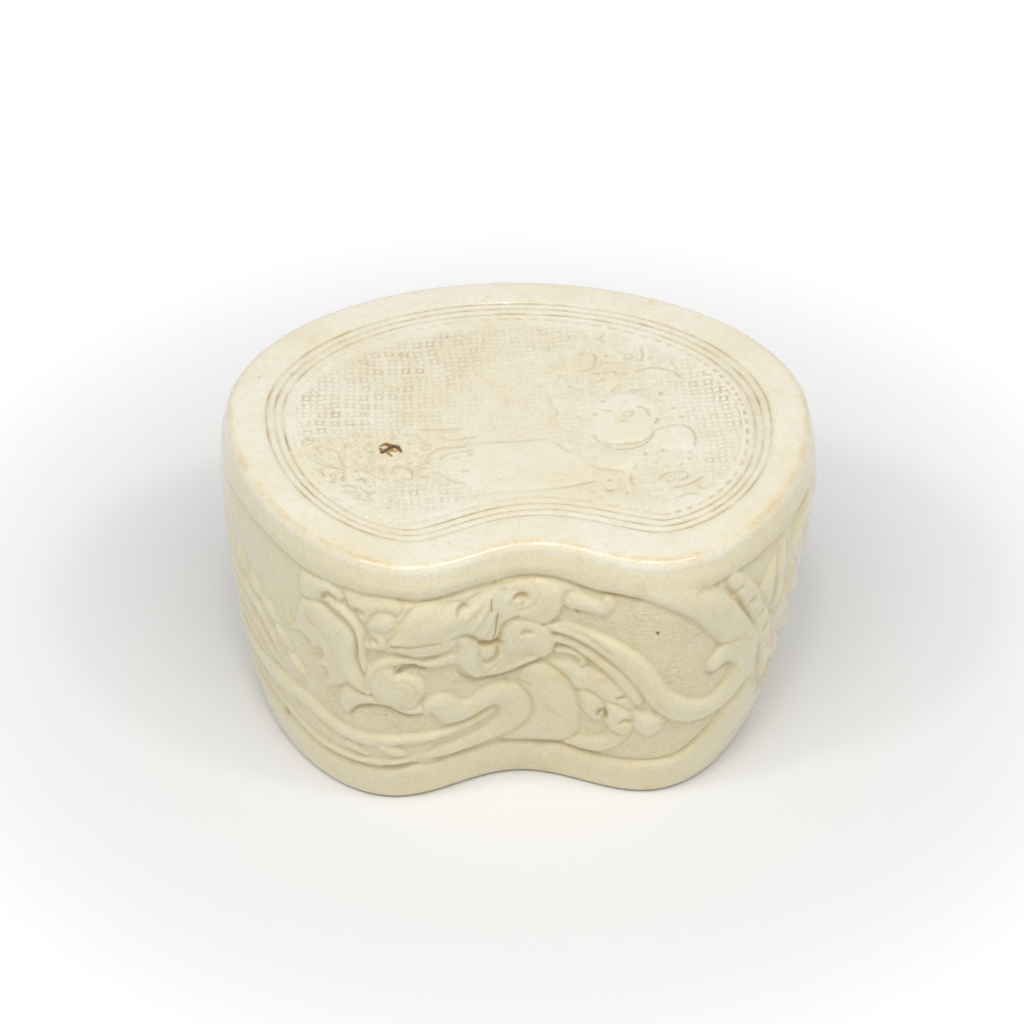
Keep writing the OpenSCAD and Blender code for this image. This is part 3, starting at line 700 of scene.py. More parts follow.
def makeMesh(name, points, faces, values, finish, crisp):
    mesh = bpy.data.meshes.new(name)
    mesh.from_pydata((points * 0.001).tolist(), [], faces)
    mesh.polygons.foreach_set("use_smooth", np.ones(len(mesh.polygons), bool))
    # edges along a row that crisp numbers are shaded as corners
    ends = np.zeros(len(mesh.edges) * 2, np.int32)
    mesh.edges.foreach_get("vertices", ends)
    rows = crisp[ends].reshape(-1, 2)
    sharp = mesh.attributes.new("sharp_edge", "BOOLEAN", "EDGE")
    sharp.data.foreach_set("value", (rows[:, 0] > 0) & (rows[:, 0] == rows[:, 1]))
    if "spread" in values:
        layer = mesh.attributes.new("spread", "FLOAT_VECTOR", "POINT")
        layer.data.foreach_set("vector", (values["spread"] * 0.001).astype(np.float32).ravel())
    for key in glazeMarks:
        layer = mesh.attributes.new(key, "FLOAT", "POINT")
        layer.data.foreach_set("value", values[key].astype(np.float32).ravel())
    mesh.materials.append(finish)
    piece = bpy.data.objects.new(name, mesh)
    bpy.context.collection.objects.link(piece)
    return piece


# half of the wall: one closed profile for each place along the outline, bridged column to column
def makeWall(name, node, startArc, endArc, shift, finish, moulds):
    # columns stand closer in the middle of the panel
    reach = wallSet["fineReach"]
    low = int((shift - reach - startArc) / wallSet["step"])
    high = int((endArc - shift - reach) / wallSet["step"])
    middle = int(2 * reach / wallSet["fineStep"])
    arc = np.concatenate([np.linspace(startArc, shift - reach, low, endpoint=False),
                          np.linspace(shift - reach, shift + reach, middle, endpoint=False),
                          np.linspace(shift + reach, endArc, high)])
    columns = len(arc) - 1
    angle = np.interp(arc, roundArc, roundAngles)
    panelZ = np.linspace(wallSet["panelLow"], wallSet["panelHigh"], wallSet["panelRows"])
    relief = Relief(arc - shift, panelZ, wallSet["groove"], wallSet["grooveWidth"])
    for mould in moulds:
        mould(relief)
    # the relief dies away toward the sides and ends at the seams, where the plain bands go on
    fromSeam = np.minimum(arc - startArc, endArc - arc)[:, None]
    seam = ease(0, wallSet["seamFade"], fromSeam)
    side = ease(wallSet["sideFrom"], wallSet["sideTo"], fromSeam)
    inPanel = np.minimum(panelZ - wallSet["bandLow"], wallSet["bandHigh"] - panelZ)
    keep = seam + (1 - seam) * (1 - np.clip(inPanel / wallSet["bandSoft"], 0, 1)[None, :])
    once = soften(relief.height * keep, 1)
    height = (once + soften(once, 1)) / 2 - soften(relief.carved * keep, 1)
    wave = wallSet["wave"] * (1 + np.sin(arc / 17)[:, None] * np.sin(panelZ / 9 + arc[:, None] / 31))
    # the pool level, signed: positive in the hollows for the pooled glaze, negative on raised forms for the
    # pale tone and its painted sheen
    pool = np.clip((soften(height, 40) - height) * 0.9, -1, 1)
    # stain and painted shade sit under overhanging edges, bare crests face up
    lean = soften(np.gradient(height, panelZ, axis=1), 2)
    overhung = np.clip(lean * 1.6, 0, 1)
    raised = np.clip(-lean * 1.6, 0, 1)
    crest = np.clip((height - soften(height, 10)) * 2.6 - 0.2, 0, 1) * (0.35 + 0.65 * raised)
    # the crevice mark: stain and painted shade at the foot of overhanging edges, also cut a little deeper
    creviceStainAndShade = np.clip((soften(height, 4) - height) * 4.0 - 0.15, 0, 1) * (0.25 + 0.75 * soften(overhung, 2))
    shaped = height + wallSet["lip"] * crest * raised - wallSet["undercut"] * creviceStainAndShade
    fall = wallSet["deepen"] * (1 - (1 - wallSet["sideShare"]) * side)
    depth = np.clip((wallSet["ground"] - shaped) * fall + wave * 0.5, 0, None)
    # the ground is smooth beside the plumes at the left end and past the strap at the right
    fromLeft = np.clip((arc - shift + wallSet["plainLeft"])[:, None] / 10, 0, 1)
    underPlumes = np.clip((wallSet["plainUnder"] - panelZ)[None] / 6, 0, 1)
    toRight = np.clip((wallSet["plainRight"] - arc + shift)[:, None] / 8, 0, 1)
    hatched = np.clip(fromLeft + underPlumes, 0, 1) * toRight * seam * (1 - side)
    # the profile: inside foot, bottom, rounded foot, outside, lip, seat, inside
    turn = np.radians(np.linspace(0, 90, 5))
    footDepth = bean["footRound"] * (1 - np.sin(turn))
    footZ = bean["footRound"] * (1 - np.cos(turn))
    lowZ = np.array([5.0, 8.5])
    highZ = np.array([103.2, 104.6, bean["skinTop"]])
    insideZ = np.linspace(bean["wallTop"], 16, 7)
    thick = bean["wallThickness"]
    outerZ = np.concatenate([footZ, lowZ, panelZ, highZ])
    lip = [(bean["skinDeep"], z, z) for z in (bean["skinTop"], bean["wallTop"])]
    inner = [(thick, z, z) for z in insideZ] + [(thick, 0, 8), (thick, 0, 0)]
    rest = np.array(lip + inner, float)
    lowDepth = wave[:, :1] * np.full(len(lowZ), 0.5)
    highDepth = wave[:, -1:] * np.array([0.3, 0.1, 0])
    allDepth = np.concatenate([np.repeat(footDepth[None], columns + 1, 0), lowDepth, depth, highDepth,
                               np.repeat(rest[None, :, 0], columns + 1, 0)], 1)
    allRing = np.concatenate([outerZ, rest[:, 1]])[None]
    allZ = np.concatenate([outerZ, rest[:, 2]])[None]
    # at both ends the inner edge stands back a little, clear of the other half
    turned = np.repeat(angle[:, None], allDepth.shape[1], 1)
    deep = np.concatenate([np.zeros(len(outerZ)), rest[:, 0] > 2])
    turned[0] += deep * np.radians(0.3)
    turned[-1] -= deep * np.radians(0.3)
    points = clay(turned, allDepth, allRing, allZ)
    rows = points.shape[1]
    first = (np.arange(columns)[:, None] * rows + np.arange(rows)[None]).ravel()
    after = (np.arange(columns)[:, None] * rows + (np.arange(rows)[None] + 1) % rows).ravel()
    faces = np.stack([first, first + rows, after + rows, after], 1).tolist()
    faces.append(list(range(rows)))
    faces.append(list(range((columns + 1) * rows - 1, columns * rows - 1, -1)))
    values = {}
    panelAt = len(footZ) + len(lowZ)
    # the line mark joins the stained cut lines with the crevices' stain and painted shade
    for key, grid in (("line", np.maximum(relief.line, creviceStainAndShade)), ("pool", pool), ("crest", crest),
                      ("flaw", relief.flaw), ("ground", relief.ground * hatched)):
        full = np.zeros((columns + 1, rows))
        full[:, panelAt:panelAt + len(panelZ)] = grid
        values[key] = full
    values["wear"] = np.zeros((columns + 1, rows))
    values["spread"] = np.stack(np.broadcast_arrays(arc[:, None], allZ, 0.0), -1)
    corner = np.zeros(rows, int)
    corner[len(outerZ) - 1:len(outerZ) + 3] = np.arange(1, 5)
    corner[-1] = 5
    corner[0] = 6
    crisp = np.repeat(corner[None], columns + 1, 0)
    crisp[0] = 7
    crisp[-1] = 8
    piece = makeMesh(name, points.reshape(-1, 3), faces, values, finish, crisp.ravel())
    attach(piece, "root")
    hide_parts(node)
    print(name, len(piece.data.polygons), "faces")
    return piece


wallGlaze = ivoryGlaze("wallGlaze", stipple)
makeWall("frontWallMoulded", "front_wall", arcAt(180), arcAt(360), 0.0, wallGlaze, [mouldDragon, fireFlaws])
makeWall("backWallMoulded", "back_wall", arcAt(360), arcAt(540), arcAt(450), wallGlaze, [mouldDragon])


# the headrest: rings from the joint over the edge to the inner border line, then a field of columns
headrestSet = {
    "around": 760, "fieldRows": 145, "lineDepth": 0.7, "lineWidth": 0.55,
    "lines": (1.0, 1.2, 1.4, 1.6), "innerLine": 1.72, "dashes": 88,
    # angle in degrees and distance of the first border line inside the edge
    "margin": ((0, 14.8), (20, 15.3), (60, 14.6), (100, 14.8), (155, 15.3), (180, 14.6), (205, 13.2),
               (218, 13.1), (240, 15.4), (262, 15.6), (284, 18), (300, 17), (322, 13), (338, 12.8),
               (360, 14.8)),
    "pitchX": 5.0, "pitchY": 4.85, "stampDepth": 0.6, "strokeDepth": 0.5, "leafDepth": 0.45, "bodyRise": 0.4,
    "strokeWidth": 0.6, "leafWidth": 0.55, "leafSpaceX": 4.4, "leafSpaceY": 3.9, "leafSize": (1.3, 2.8),
    "curls": 15, "face": (37, -0.5),  # curls of the mane, round the middle of the face
}


def topLevel(x, y):  # the dished top: highest at the edge, lowest in the middle
    edge = clay(np.radians(np.arange(-90, 271, 1.0)), bean["edgeRound"], edgeFoot, 0)
    way = np.unwrap(np.arctan2(edge[:, 1], edge[:, 0]))
    reach = np.interp(np.arctan2(y, x), way, np.hypot(edge[:, 0], edge[:, 1]), period=2 * np.pi)
    share = np.clip(np.hypot(x, y) / reach, 0, 1)
    return bean["height"] - bean["dip"] * (1 - share ** 2) ** 1.5


def incise(x, y, strokes, width):  # strength of drawn strokes at each point
    mark = np.zeros(x.shape)
    for stroke in strokes:
        if len(stroke) > 1:
            path = smoothPath([(px, py, 0.0) for px, py in stroke], 5)
        else:  # a single place is a dot
            path = smoothPath([(*stroke[0], 0.4)] * 2, 5)
        low = path.min(0) - 3
        high = path.max(0) + 3
        near = (x > low[0]) & (x < high[0]) & (y > low[1]) & (y < high[1])
        if near.any():
            away = pathField(x[near], y[near], path)
            mark[near] = np.maximum(mark[near], fading(away, width))
    return mark


# the lion among scrolls, in millimetres from the middle of the pillow
lionStrokes = [
    # chin, muzzle and brow
    [(25, -9), (27, -13), (30, -16), (34, -17.6), (38, -17.5), (42, -15.5), (44.5, -12.5), (46, -9),
     (48, -7.5), (51, -6.5), (54, -6)],
    [(28, -12.5), (30, -14), (33, -15), (37, -15), (41, -14.4), (44, -12)],
    [(56, -6.4), (58, -8), (59.5, -11), (59.7, -15), (59, -18.5)], [(42, 5), (44, 4), (45, 2), (45, 0)],
    [(36.4, 1.6), (37.4, 3), (39, 2.8), (39.6, 1.4), (38.6, 0.2), (37, 0.3), (36.4, 1.6)],
    [(39.3, 15), (42, 15.2), (46, 14.7)], [(33, 14.4), (35, 17), (37, 19)],
    [(29.5, 4.4), (31, 4.2), (32.3, 3.4)], [(36, -2)], [(26.5, 2.5)], [(21, 2)], [(30, 9.5)], [(50.5, 12)],
    [(54, 3.5)], [(56, -1.5)], [(48, -2.6)], [(47, -4.2)],
    # paws and the scrolls before them
    [(42, -21)], [(48, -19.8)], [(45, -26.3)], [(56.5, -25.5)], [(57, -21.5)], [(52.4, -29), (53.6, -27.6)],
    [(37.2, -29), (38.4, -27)], [(35.7, -32), (35.4, -35), (36, -38)],
    [(44.5, -35.8), (46, -34), (48, -32.7), (50, -32), (52, -31.8), (54, -32.5), (55, -34), (54, -36),
     (52, -36.8)], [(47.3, -36.8), (48.6, -37.3)],
    [(50, -40.6), (53, -40.1), (56, -38.8), (58, -37.2), (59.6, -36)], [(43.4, -41.3), (45, -41.8)],
    [(57.5, -41.4), (60.5, -42.6)], [(50, -46), (53, -45), (56, -44.8), (58, -46), (60, -48.6)],
    [(45, -53.4), (47, -54), (50, -53.8), (53, -53)],
    [(23, -25.5), (25, -27.3), (28, -28.7), (31, -29.5), (33, -30)], [(30, -31.4), (31.4, -30.8)],
    [(28.5, -34.5)], [(26.4, -39.2), (27.6, -40.6), (29.6, -40.2)], [(22, -40.4)], [(33.5, -42)],
    # belly, back and tail
    [(-12, -38.6), (-6, -39), (0, -38.8), (5, -38.5), (11, -37.8), (17, -36.5), (23, -35)],
    [(-12, -10), (0, -10.3), (8, -9.5)], [(11.5, -11.5), (13, -14.5), (16, -17.6)],
    [(14, 4), (12, 9), (11, 15)],
    [(-33.5, -19.5), (-32, -16.5), (-30, -14), (-27, -12.5), (-23, -12), (-19, -12)],
    [(-28.3, -18.5), (-26.5, -16.5), (-23.5, -15.4), (-20, -15), (-17, -14.6)],
    [(-24, -18.8), (-22, -18.5)], [(-31, -25.5), (-28.5, -27.5), (-26, -29.5), (-24, -31.5), (-21, -32.6)],
    [(-38, -4), (-36, -4.8), (-34.5, -6.5), (-33, -9.5), (-31, -10.4)],
    [(-27.5, -6), (-25, -7.5), (-22, -8), (-15, -6.4)], [(-35, -1.5), (-28, -2.2), (-20, -1.6)],
    [(-21, -26), (-19, -26.3)], [(-18, -17)], [(-32.6, -20)], [(-36.3, -14.8)], [(-38.4, -9.5)],
    [(-36.5, -22.5), (-34.5, -23.3), (-33, -23.6)], [(-35.8, -27.8), (-34, -28.3), (-33, -28)],
    # scrolls at the left
    [(-44.5, -24), (-43.8, -22), (-41, -22), (-38.8, -24), (-38, -26.5), (-38.3, -29), (-40, -29.4),
     (-41.6, -28.5)], [(-67, -11), (-65, -12), (-63, -13.5), (-62.3, -16), (-61.8, -19), (-60.2, -22.5)],
    [(-62.5, -13.5), (-61, -12), (-60.3, -10)], [(-70.5, -10.5), (-69, -12.5), (-68.3, -14)],
    [(-73, -6), (-71, -7)], [(-65.5, -20.4), (-64.8, -22), (-62, -22.7)], [(-68.6, -24.8), (-68, -26.6)],
    [(-68, -29.5), (-66, -30), (-64.5, -30)], [(-61, -26.5), (-62, -28), (-61.7, -29.6)],
    [(-57, -29), (-55, -28.4), (-54, -29.5), (-54.5, -31)], [(-55.5, -34.4), (-54.5, -35.5), (-53, -37.6)],
    [(-55, -23.5), (-52, -26), (-50, -28), (-47.5, -29.5)], [(-51.3, -30), (-50.8, -32.5)],
    [(-57, -18), (-56.7, -20.5)], [(-49, -22), (-48.2, -24)], [(-46.4, -40.4), (-46, -42)], [(-47, -45)],
    [(-61, -32), (-58, -32.6)],
    # scrolls behind the head
    [(22.5, 27.5), (25, 27.3), (28, 28.8), (29.3, 32), (29.7, 35), (28.5, 37), (26, 37.2), (24.2, 36)],
    [(31, 30.5), (33, 31.5), (36, 31), (38, 30.6)], [(35, 26.5), (36.5, 25), (38.5, 24.6), (40, 25)],
    [(43, 25), (45, 26), (48, 26.8), (51, 26.5), (54, 25), (56.5, 23.5), (57.5, 21.5), (58, 20.6)],
    [(56, 29), (57, 27), (57.5, 24.4)], [(45, 31), (46, 33), (46.4, 36), (46, 39)],
    [(33, 42.6), (32, 45), (33.5, 46.6)],
    [(40, 33), (40.4, 35), (42, 35.2), (42.6, 33.6), (41.4, 32.4), (40, 33)], [(33.5, 35)],
    [(38, 37.2), (40, 36.8)], [(19.2, 19.4), (20.2, 18.4)], [(29, 25.5), (30.4, 25.3)],
    [(15.6, 24), (16.4, 26)], [(29.5, 21), (31.5, 21.8)],
]
# where small curled leaves fill the ground round the lion
leafAreas = [
    [(-73, -5), (-60, -4), (-48, -5), (-38, -3), (-33, -8), (-31, -20), (-31, -30), (-45, -31), (-47, -48),
     (-58, -46), (-68, -34), (-74, -18)],
    [(41, -20), (56, -20), (61, -26), (62, -40), (54, -54), (38, -55), (26, -47), (26, -38), (33, -31),
     (40, -27)],
    [(14, 20), (22, 18), (30, 13), (48, 15), (58, 21), (58, 33), (46, 46), (30, 51), (20, 42), (12, 30)],
]


def inside(x, y, outlines, soft):  # 1 within any of the outlines, falling to 0 over the soft width
    away = np.min([pathField(x, y, smoothPath(shape, 4)) for shape in outlines], 0)
    return ease(soft / 2, -soft / 2, away)


def leafStrokes():  # short curled strokes on a shaken grid, and curls of the mane round the face
    shake = np.random.default_rng(7)
    across = np.arange(-74, 64, headrestSet["leafSpaceX"])
    up = np.arange(-56, 52, headrestSet["leafSpaceY"])
    x, y = (grid.ravel() for grid in np.meshgrid(across, up))
    x = x + shake.uniform(-0.9, 0.9, x.size)
    y = y + shake.uniform(-0.8, 0.8, y.size)
    keep = inside(x, y, leafAreas, 1.0) > 0.5
    way = 2.4 * np.sin(x / 5.2 + 0.6) + 2.2 * np.cos(y / 4.6) + shake.uniform(-0.5, 0.5, x.size)
    size = shake.uniform(*headrestSet["leafSize"], x.size)
    bend = np.where(shake.uniform(0, 1, x.size) > 0.4, 1.2, -1.2)
    share = np.array([-1.0, -0.35, 0.35, 1.0])
    turn = way[:, None] + bend[:, None] * share
    long = size[:, None] * share
    leaves = np.stack([x[:, None] + long * np.cos(turn), y[:, None] + long * np.sin(turn)], -1)[keep]
    start = np.radians(-5 + 13 * np.arange(headrestSet["curls"]))[:, None]
    reach = np.array([13.2, 15.2, 15.8, 14.6])
    turn = start + np.array([0.0, 0.06, 0.17, 0.2])
    curls = np.stack([reach * np.cos(turn), reach * np.sin(turn)], -1) + headrestSet["face"]
    return leaves.tolist() + curls.tolist()


# where the stamped diaper is still clear, and the smooth bodies of the lion
stampedAreas = [
    [(-78, 0), (-76, 22), (-64, 44), (-40, 56), (-10, 60), (-3, 50), (-12, 36), (-18, 20), (-27, 5),
     (-45, -3), (-65, -3)], [(-10, 60), (30, 58), (24, 47), (18, 39), (0, 38), (-14, 40)],
    [(60, 38), (72, 24), (77, 8), (78, -12), (74, -32), (63, -34), (61, -20), (61, -6), (57, 4), (57, 16),
     (60, 26)],
    [(-44, -31.5), (-30, -31.5), (-12, -35), (-9, -41), (-16, -48), (-28, -55), (-42, -55), (-44, -42)],
]
lionBodies = [
    [(-24, -14), (-8, -11), (8, -10.5), (14, -15), (22, -23), (24, -30), (21, -34.5), (10, -37), (-4, -38),
     (-14, -37), (-22, -31), (-27, -22)],
    [(25.5, -6), (26, 4), (30, 10.5), (37, 13), (44, 10.5), (48.5, 4), (48, -5), (44, -12), (36, -14.6),
     (29, -12)],
    [(46.5, -9), (51, -7.3), (56, -7.4), (58.6, -11), (58.6, -16), (55, -19), (49, -18), (46, -14)],
    [(26, -20), (34, -19), (40, -18), (40, -25), (35, -29), (28, -28), (24, -24.5)],
]


# the iron spot burst through the glaze: the strength of each ragged stroke, its course and half widths
ironSpot = [
    (0.75, [(-48, -10.4, 0.1), (-46.8, -9.6, 0.2), (-45.6, -10, 0.5), (-44.4, -10.8, 0.5)]),
    (1.0, [(-44.6, -11.2, 0.5), (-43, -11, 0.6), (-42, -12.2, 0.4), (-41.3, -13.8, 0.1)]),
    (0.95, [(-44.2, -11.6, 0.5), (-46, -12.6, 0.4), (-47.2, -13.6, 0.7), (-47.9, -14.4, 0.3)]),
    (0.6, [(-46.4, -14.2, 0.3), (-45.4, -15.4, 0.2), (-44.6, -16.6, 0.05)]),
    (0.45, [(-46, -13.2, 0.4), (-43.8, -13.7, 0.4), (-43, -13.9, 0.2)]),
    (0.9, [(-48.3, -12.1, 0.2), (-48.1, -12.2, 0.2)]),
]


def stamps(x, y):  # rows of small squares with slanting petals between them, each cell shifted and worn
    drift = 0.5 * np.sin(x / 8.1) + 0.3 * np.sin(x / 2.6 + y / 5)
    x = x + 0.5 * np.sin(y / 7.3 + 1) + 0.25 * np.sin(y / 2.1)
    y = y + drift

    def chance(seed):  # a number from 0 to 1 for each cell, the same in every run
        wild = np.sin(column * 12.9898 + row * 78.233 + seed * 37.719) * 43758.5453
        return wild - np.floor(wild)

    column = np.floor(x / headrestSet["pitchX"])
    row = np.floor(y / headrestSet["pitchY"])
    fromX = x - (column + 0.44 + 0.12 * chance(1)) * headrestSet["pitchX"]
    fromY = y - (row + 0.44 + 0.12 * chance(2)) * headrestSet["pitchY"]
    square = np.maximum(np.abs(fromX), np.abs(fromY))
    ring = np.exp(-((square - 1.2) / 0.45) ** 2) * (0.65 + 0.35 * chance(3))
    column = np.round(x / headrestSet["pitchX"])
    row = np.round(y / headrestSet["pitchY"])
    fromX = x - column * headrestSet["pitchX"]
    fromY = y - row * headrestSet["pitchY"]
    lean = np.where(chance(4) > 0.3, 1, -1)
    along = (fromX - lean * fromY) * 0.707
    across = (fromX + lean * fromY) * 0.707
    petal = np.exp(-((np.hypot(along / 1.9, across / 0.95) - 1) / 0.45) ** 2) * (0.4 + 0.6 * chance(5))
    return np.maximum(ring, 0.75 * petal)


def makeHeadrest(finish):
    around = headrestSet["around"]
    half = around // 2
    angle = 2 * np.pi * np.arange(around) / around
    places, margins = zip(*headrestSet["margin"])
    margin = np.interp(np.degrees(angle), places, margins)
    for k in range(400):
        margin = (np.roll(margin, 1) + 2 * margin + np.roll(margin, -1)) / 4
    edge = bean["edgeRound"]
    # side and rounded edge
    sideZ = np.array([bean["skinTop"], 106.3, 107.5])
    turn = np.radians(np.linspace(0, 90, 10))
    ringDepth = np.concatenate([np.zeros(3), edge * (1 - np.cos(turn))])
    ringZ = np.concatenate([sideZ, edgeFoot + edge * np.sin(turn)])
    side = clay(angle[None], ringDepth[:, None], np.minimum(ringZ, edgeFoot)[:, None], ringZ[:, None])
    # flat margin and border, in shares of the way to the first line
    shares = np.concatenate([np.linspace(0, 0.93, 7)[1:], np.linspace(0.95, headrestSet["innerLine"], 28)])
    inward = edge + (margin[None] - edge) * shares[:, None]
    inward = np.where(shares[:, None] > 1, margin[None] * shares[:, None], inward)
    border = clay(angle[None], inward, edgeFoot, 0)
    lines = np.zeros(border.shape[:2])
    for k, share in enumerate(headrestSet["lines"]):
        away = (inward - margin[None] * share) / headrestSet["lineWidth"]
        pressed = 0.78 + 0.22 * np.sin(angle * (5 + k) + 2 * k) * np.sin(angle * 13 + k)
        if k == 3:  # the innermost line is dashed
            dash = np.clip(0.7 + np.sin(angle * headrestSet["dashes"] + np.sin(9 * angle)), 0, 1)
            pressed = (0.55 + 0.3 * np.cos(angle)) * dash
        lines = np.maximum(lines, np.exp(-away ** 2) * pressed)
    border[..., 2] = topLevel(border[..., 0], border[..., 1]) - headrestSet["lineDepth"] * lines
    # inner field: straight columns from the back of the innermost ring to its front
    back = border[-1, 1:half]
    front = border[-1, :half:-1]
    rows = headrestSet["fieldRows"]
    t = np.linspace(0, 1, rows + 1)[None, 1:-1, None]
    field = back[:, None] * (1 - t) + front[:, None] * t
    x, y = field[..., 0], field[..., 1]
    fade = np.clip(np.minimum(t, 1 - t)[..., 0] * 20, 0, 1)
    body = inside(x, y, lionBodies, 3.0) * fade
    behind = (1 - 0.9 * body) * fade
    drawn = incise(x, y, lionStrokes, headrestSet["strokeWidth"]) * fade
    leaves = incise(x, y, leafStrokes(), headrestSet["leafWidth"]) * behind * np.where(x < -10, 1.0, 0.7)
    worn = 0.75 + 0.25 * np.sin(x / 11 + 1.1) * np.sin(y / 9 + 0.4)
    stamped = stamps(x, y) * (0.4 + 0.6 * inside(x, y, stampedAreas, 9.0) * worn) * behind
    tinted = np.max([drawn * 0.75, leaves * 0.6, stamped * 0.9], 0)
    pressed = np.max([headrestSet["strokeDepth"] * drawn, headrestSet["leafDepth"] * leaves,
                      headrestSet["stampDepth"] * stamped], 0)
    field[..., 2] = topLevel(x, y) - pressed + headrestSet["bodyRise"] * body
    # underside, hidden inside
    seat = bean["seatHeight"]
    under = [clay(angle, bean["skinDeep"], seat, z) for z in (bean["skinTop"], seat)]
    for share in (0.75, 0.4):
        ring = clay(angle, bean["wallThickness"], seat, seat) * share
        ring[:, 2] = seat - bean["dip"] * (1 - share ** 2) ** 2
        under.append(ring)
    under = np.stack(under[::-1])
    rings = np.concatenate([under, side, border])
    ringRows = len(rings)
    points = np.concatenate([rings.reshape(-1, 3), field.reshape(-1, 3), [[0, 0, seat - bean["dip"]]]])
    k = np.arange(around)
    after = (k + 1) % around
    faces = []
    for row in range(ringRows - 1):
        here = row * around
        there = here + around
        faces += np.stack([here + k, here + after, there + after, there + k], 1).tolist()
    last = (ringRows - 1) * around
    fieldStart = ringRows * around
    columns = np.full((half + 1, rows + 1), last)
    columns[1:half, 0] = last + np.arange(1, half)
    columns[1:half, rows] = last + np.arange(around - 1, half, -1)
    columns[1:half, 1:rows] = fieldStart + np.arange((half - 1) * (rows - 1)).reshape(half - 1, rows - 1)
    columns[half] = last + half
    inner = columns[1:half]
    quads = np.stack([inner[:-1, :-1], inner[1:, :-1], inner[1:, 1:], inner[:-1, 1:]], -1).reshape(-1, 4)
    faces += quads.tolist()
    ends = np.full(rows, last)
    faces += np.stack([ends, columns[1, :-1], columns[1, 1:]], 1).tolist()
    faces += np.stack([ends + half, columns[half - 1, 1:], columns[half - 1, :-1]], 1).tolist()
    centre = len(points) - 1
    faces += np.stack([np.full(around, centre), after, k], 1).tolist()
    # stain in the lines and between them
    count = len(points)
    values = {key: np.zeros(count) for key in glazeMarks}
    borderAt = slice((ringRows - len(border)) * around, ringRows * around)
    fieldAt = slice(fieldStart, fieldStart + field.shape[0] * field.shape[1])
    between = np.exp(-((shares - 1.28) / 0.3) ** 4)[:, None]
    uneven = 0.16 + 0.12 * np.cos(2 * angle) + 0.1 * np.sin(3 * angle + 1)
    values["line"][borderAt] = np.maximum(lines, between * uneven).ravel()
    values["line"][fieldAt] = tinted.ravel()
    # worn glaze in two fine lines, over and under the turn of the edge
    sideStart = len(under)
    facing = np.clip(0.45 - 0.75 * np.sin(angle) + 0.35 * np.abs(np.cos(angle)) ** 4, 0.15, 1)
    for row, at in enumerate(np.degrees(turn)):
        here = (sideStart + len(sideZ) + row) * around
        strength = np.exp(-((at - 62) / 22) ** 2) + 0.5 * np.exp(-((at - 8) / 14) ** 2)
        values["wear"][here:here + around] = strength * facing
    for strength, stroke in ironSpot:
        away = pathField(points[:, 0], points[:, 1], smoothPath(stroke, 5))
        values["flaw"] = np.maximum(values["flaw"], strength * fading(away, 0.4))
    values["flaw"][points[:, 2] <= sideZ[1]] = 0
    crisp = np.zeros(count, int)
    for row in range(sideStart - 2, sideStart + 1):
        crisp[row * around:(row + 1) * around] = row + 1
    piece = makeMesh("headrestGlazed", points, faces, values, finish, crisp)
    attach(piece, "root")
    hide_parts("headrest_slab")
    print("headrestGlazed", len(piece.data.polygons), "faces")
    return piece


def plainGlaze(finish, ground):  # no hatching: the headrest's pattern is in its mesh
    return ground * 0.0


headrestGlaze = ivoryGlaze("headrestGlaze", plainGlaze)
makeHeadrest(headrestGlaze)

clayTone = bareClay("bareClayTone", colour(222, 208, 178), colour(190, 166, 124))
slipTone = bareClay("lutingSlipTone", colour(206, 186, 148), colour(170, 142, 100))
for tone, nodeNames in ((clayTone, ("base_slab", "headrest_coil", "left_seam_strip", "right_seam_strip")),
                        (slipTone, ("headrest_slip", "base_slip", "left_seam_slip", "right_seam_slip"))):
    for nodeName in nodeNames:
        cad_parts[nodeName].data.materials.clear()
        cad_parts[nodeName].data.materials.append(tone)
print("finishes set")


# floor, light and camera
stageSet = {
    "floor": 6.0, "world": 0.37, "white": (1, 1, 1, 1),
    # the paper seen by the camera is painted darker near the pillow, a painted shadow, and white far off
    "paperNear": (0.82, 0.82, 0.83, 1), "paperFar": (0.98, 0.98, 0.98, 1), "paperLit": (0.9, 0.9, 0.9, 1),
    "lampAim": (0, 0, 0.06),
    "lamps": (  # name, place, width, depth, power
        ("overhead", (-0.04, -0.62, 1.5), 1.4, 0.8, 12.4),
        ("leftLamp", (-0.78, -0.46, 1.25), 0.18, 0.18, 2.3),
        ("middleLamp", (-0.06, -0.55, 1.45), 0.14, 0.14, 1.5),
        ("rightLamp", (0.64, -0.46, 1.3), 0.18, 0.18, 2.3)),
    "camera": (-0.0742, -0.9987, 0.8874), "aim": (-0.0019, 0.0059, 0.0655), "lens": 129.14,
}


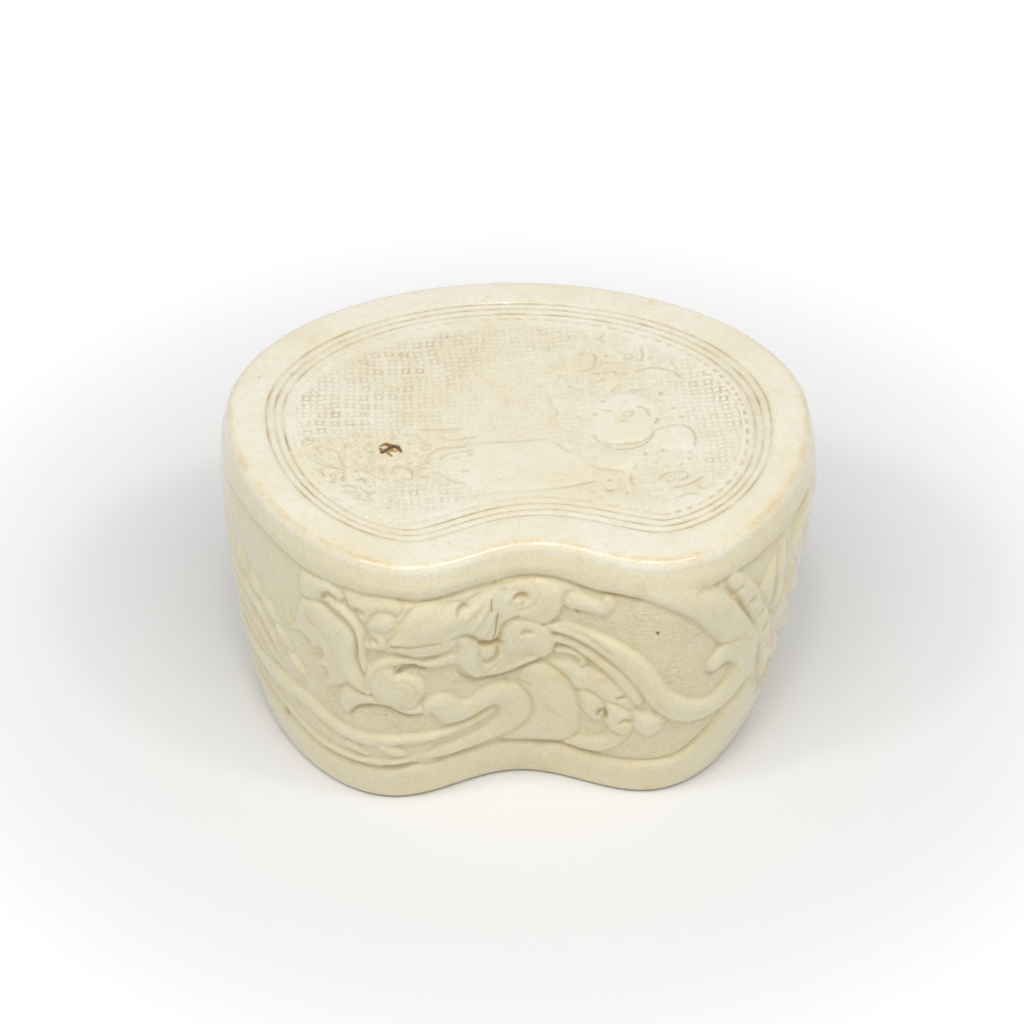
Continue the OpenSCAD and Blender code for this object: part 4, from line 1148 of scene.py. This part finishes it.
def makeFloor():  # pale paper with a shadow painted round the pillow, turning white away from it, which also keeps the pillow's cast shadow
    size = stageSet["floor"]
    mesh = bpy.data.meshes.new("floor")
    corners = [(-size, -size, 0), (size, -size, 0), (size, size, 0), (-size, size, 0)]
    mesh.from_pydata(corners, [], [(0, 1, 2, 3)])
    finish = Finish(bpy.data.materials.new("floorPaperPaintedShade"))
    shown = finish.shown()
    away = finish.node("ShaderNodeVectorMath", {"operation": "LENGTH"}, {0: finish.place})["Value"]
    # painted shadow: the paper's colour is darker near the pillow
    paper = finish.mix(away.between(0.1, 0.34), stageSet["paperNear"], stageSet["paperFar"])
    paper = finish.mix(shown, stageSet["paperLit"], paper)
    diffuse = finish.node("ShaderNodeBsdfDiffuse", None, {"Color": paper})["BSDF"]
    # the glow the camera sees rises away from the pillow, so the paper stays darker near it, part of the
    # painted shadow
    strength = shown * (away.between(0.15, 0.36) * 0.24 + 0.03)
    glow = finish.node("ShaderNodeEmission", None, {"Color": stageSet["white"], "Strength": strength})[0]
    both = finish.node("ShaderNodeAddShader", None, {0: diffuse, 1: glow})[0]
    finish.node("ShaderNodeOutputMaterial", None, {"Surface": both})
    mesh.materials.append(finish.owner)
    floor = bpy.data.objects.new("floor", mesh)
    bpy.context.collection.objects.link(floor)


def makeWorld():  # a dim room for the light, a white one to look at
    world = bpy.data.worlds.new("studio")
    bpy.context.scene.world = world
    finish = Finish(world)
    white = stageSet["white"]
    dim = finish.node("ShaderNodeBackground", None, {"Color": white, "Strength": stageSet["world"]})[0]
    bright = finish.node("ShaderNodeBackground", None, {"Color": white, "Strength": 1.0})[0]
    room = finish.node("ShaderNodeMixShader", None, {0: finish.shown(), 1: dim, 2: bright})[0]
    finish.node("ShaderNodeOutputWorld", None, {"Surface": room})


def aimAt(thing, place, target):
    thing.location = place
    thing.rotation_euler = (Vector(target) - Vector(place)).to_track_quat("-Z", "Y").to_euler()


def softbox(name, place, width, depth, power):
    lamp = bpy.data.lights.new(name, "AREA")
    lamp.shape = "RECTANGLE"
    lamp.size = width
    lamp.size_y = depth
    lamp.energy = power
    thing = bpy.data.objects.new(name, lamp)
    bpy.context.collection.objects.link(thing)
    aimAt(thing, place, stageSet["lampAim"])


makeFloor()
makeWorld()
for lampSet in stageSet["lamps"]:
    softbox(*lampSet)

lens = bpy.data.cameras.new("camera")
lens.lens = stageSet["lens"]
lens.sensor_width = 36
lens.sensor_fit = "HORIZONTAL"
camera = bpy.data.objects.new("camera", lens)
bpy.context.collection.objects.link(camera)
aimAt(camera, stageSet["camera"], stageSet["aim"])
bpy.context.scene.camera = camera
bpy.context.scene.view_settings.view_transform = "Standard"
print("stage set")
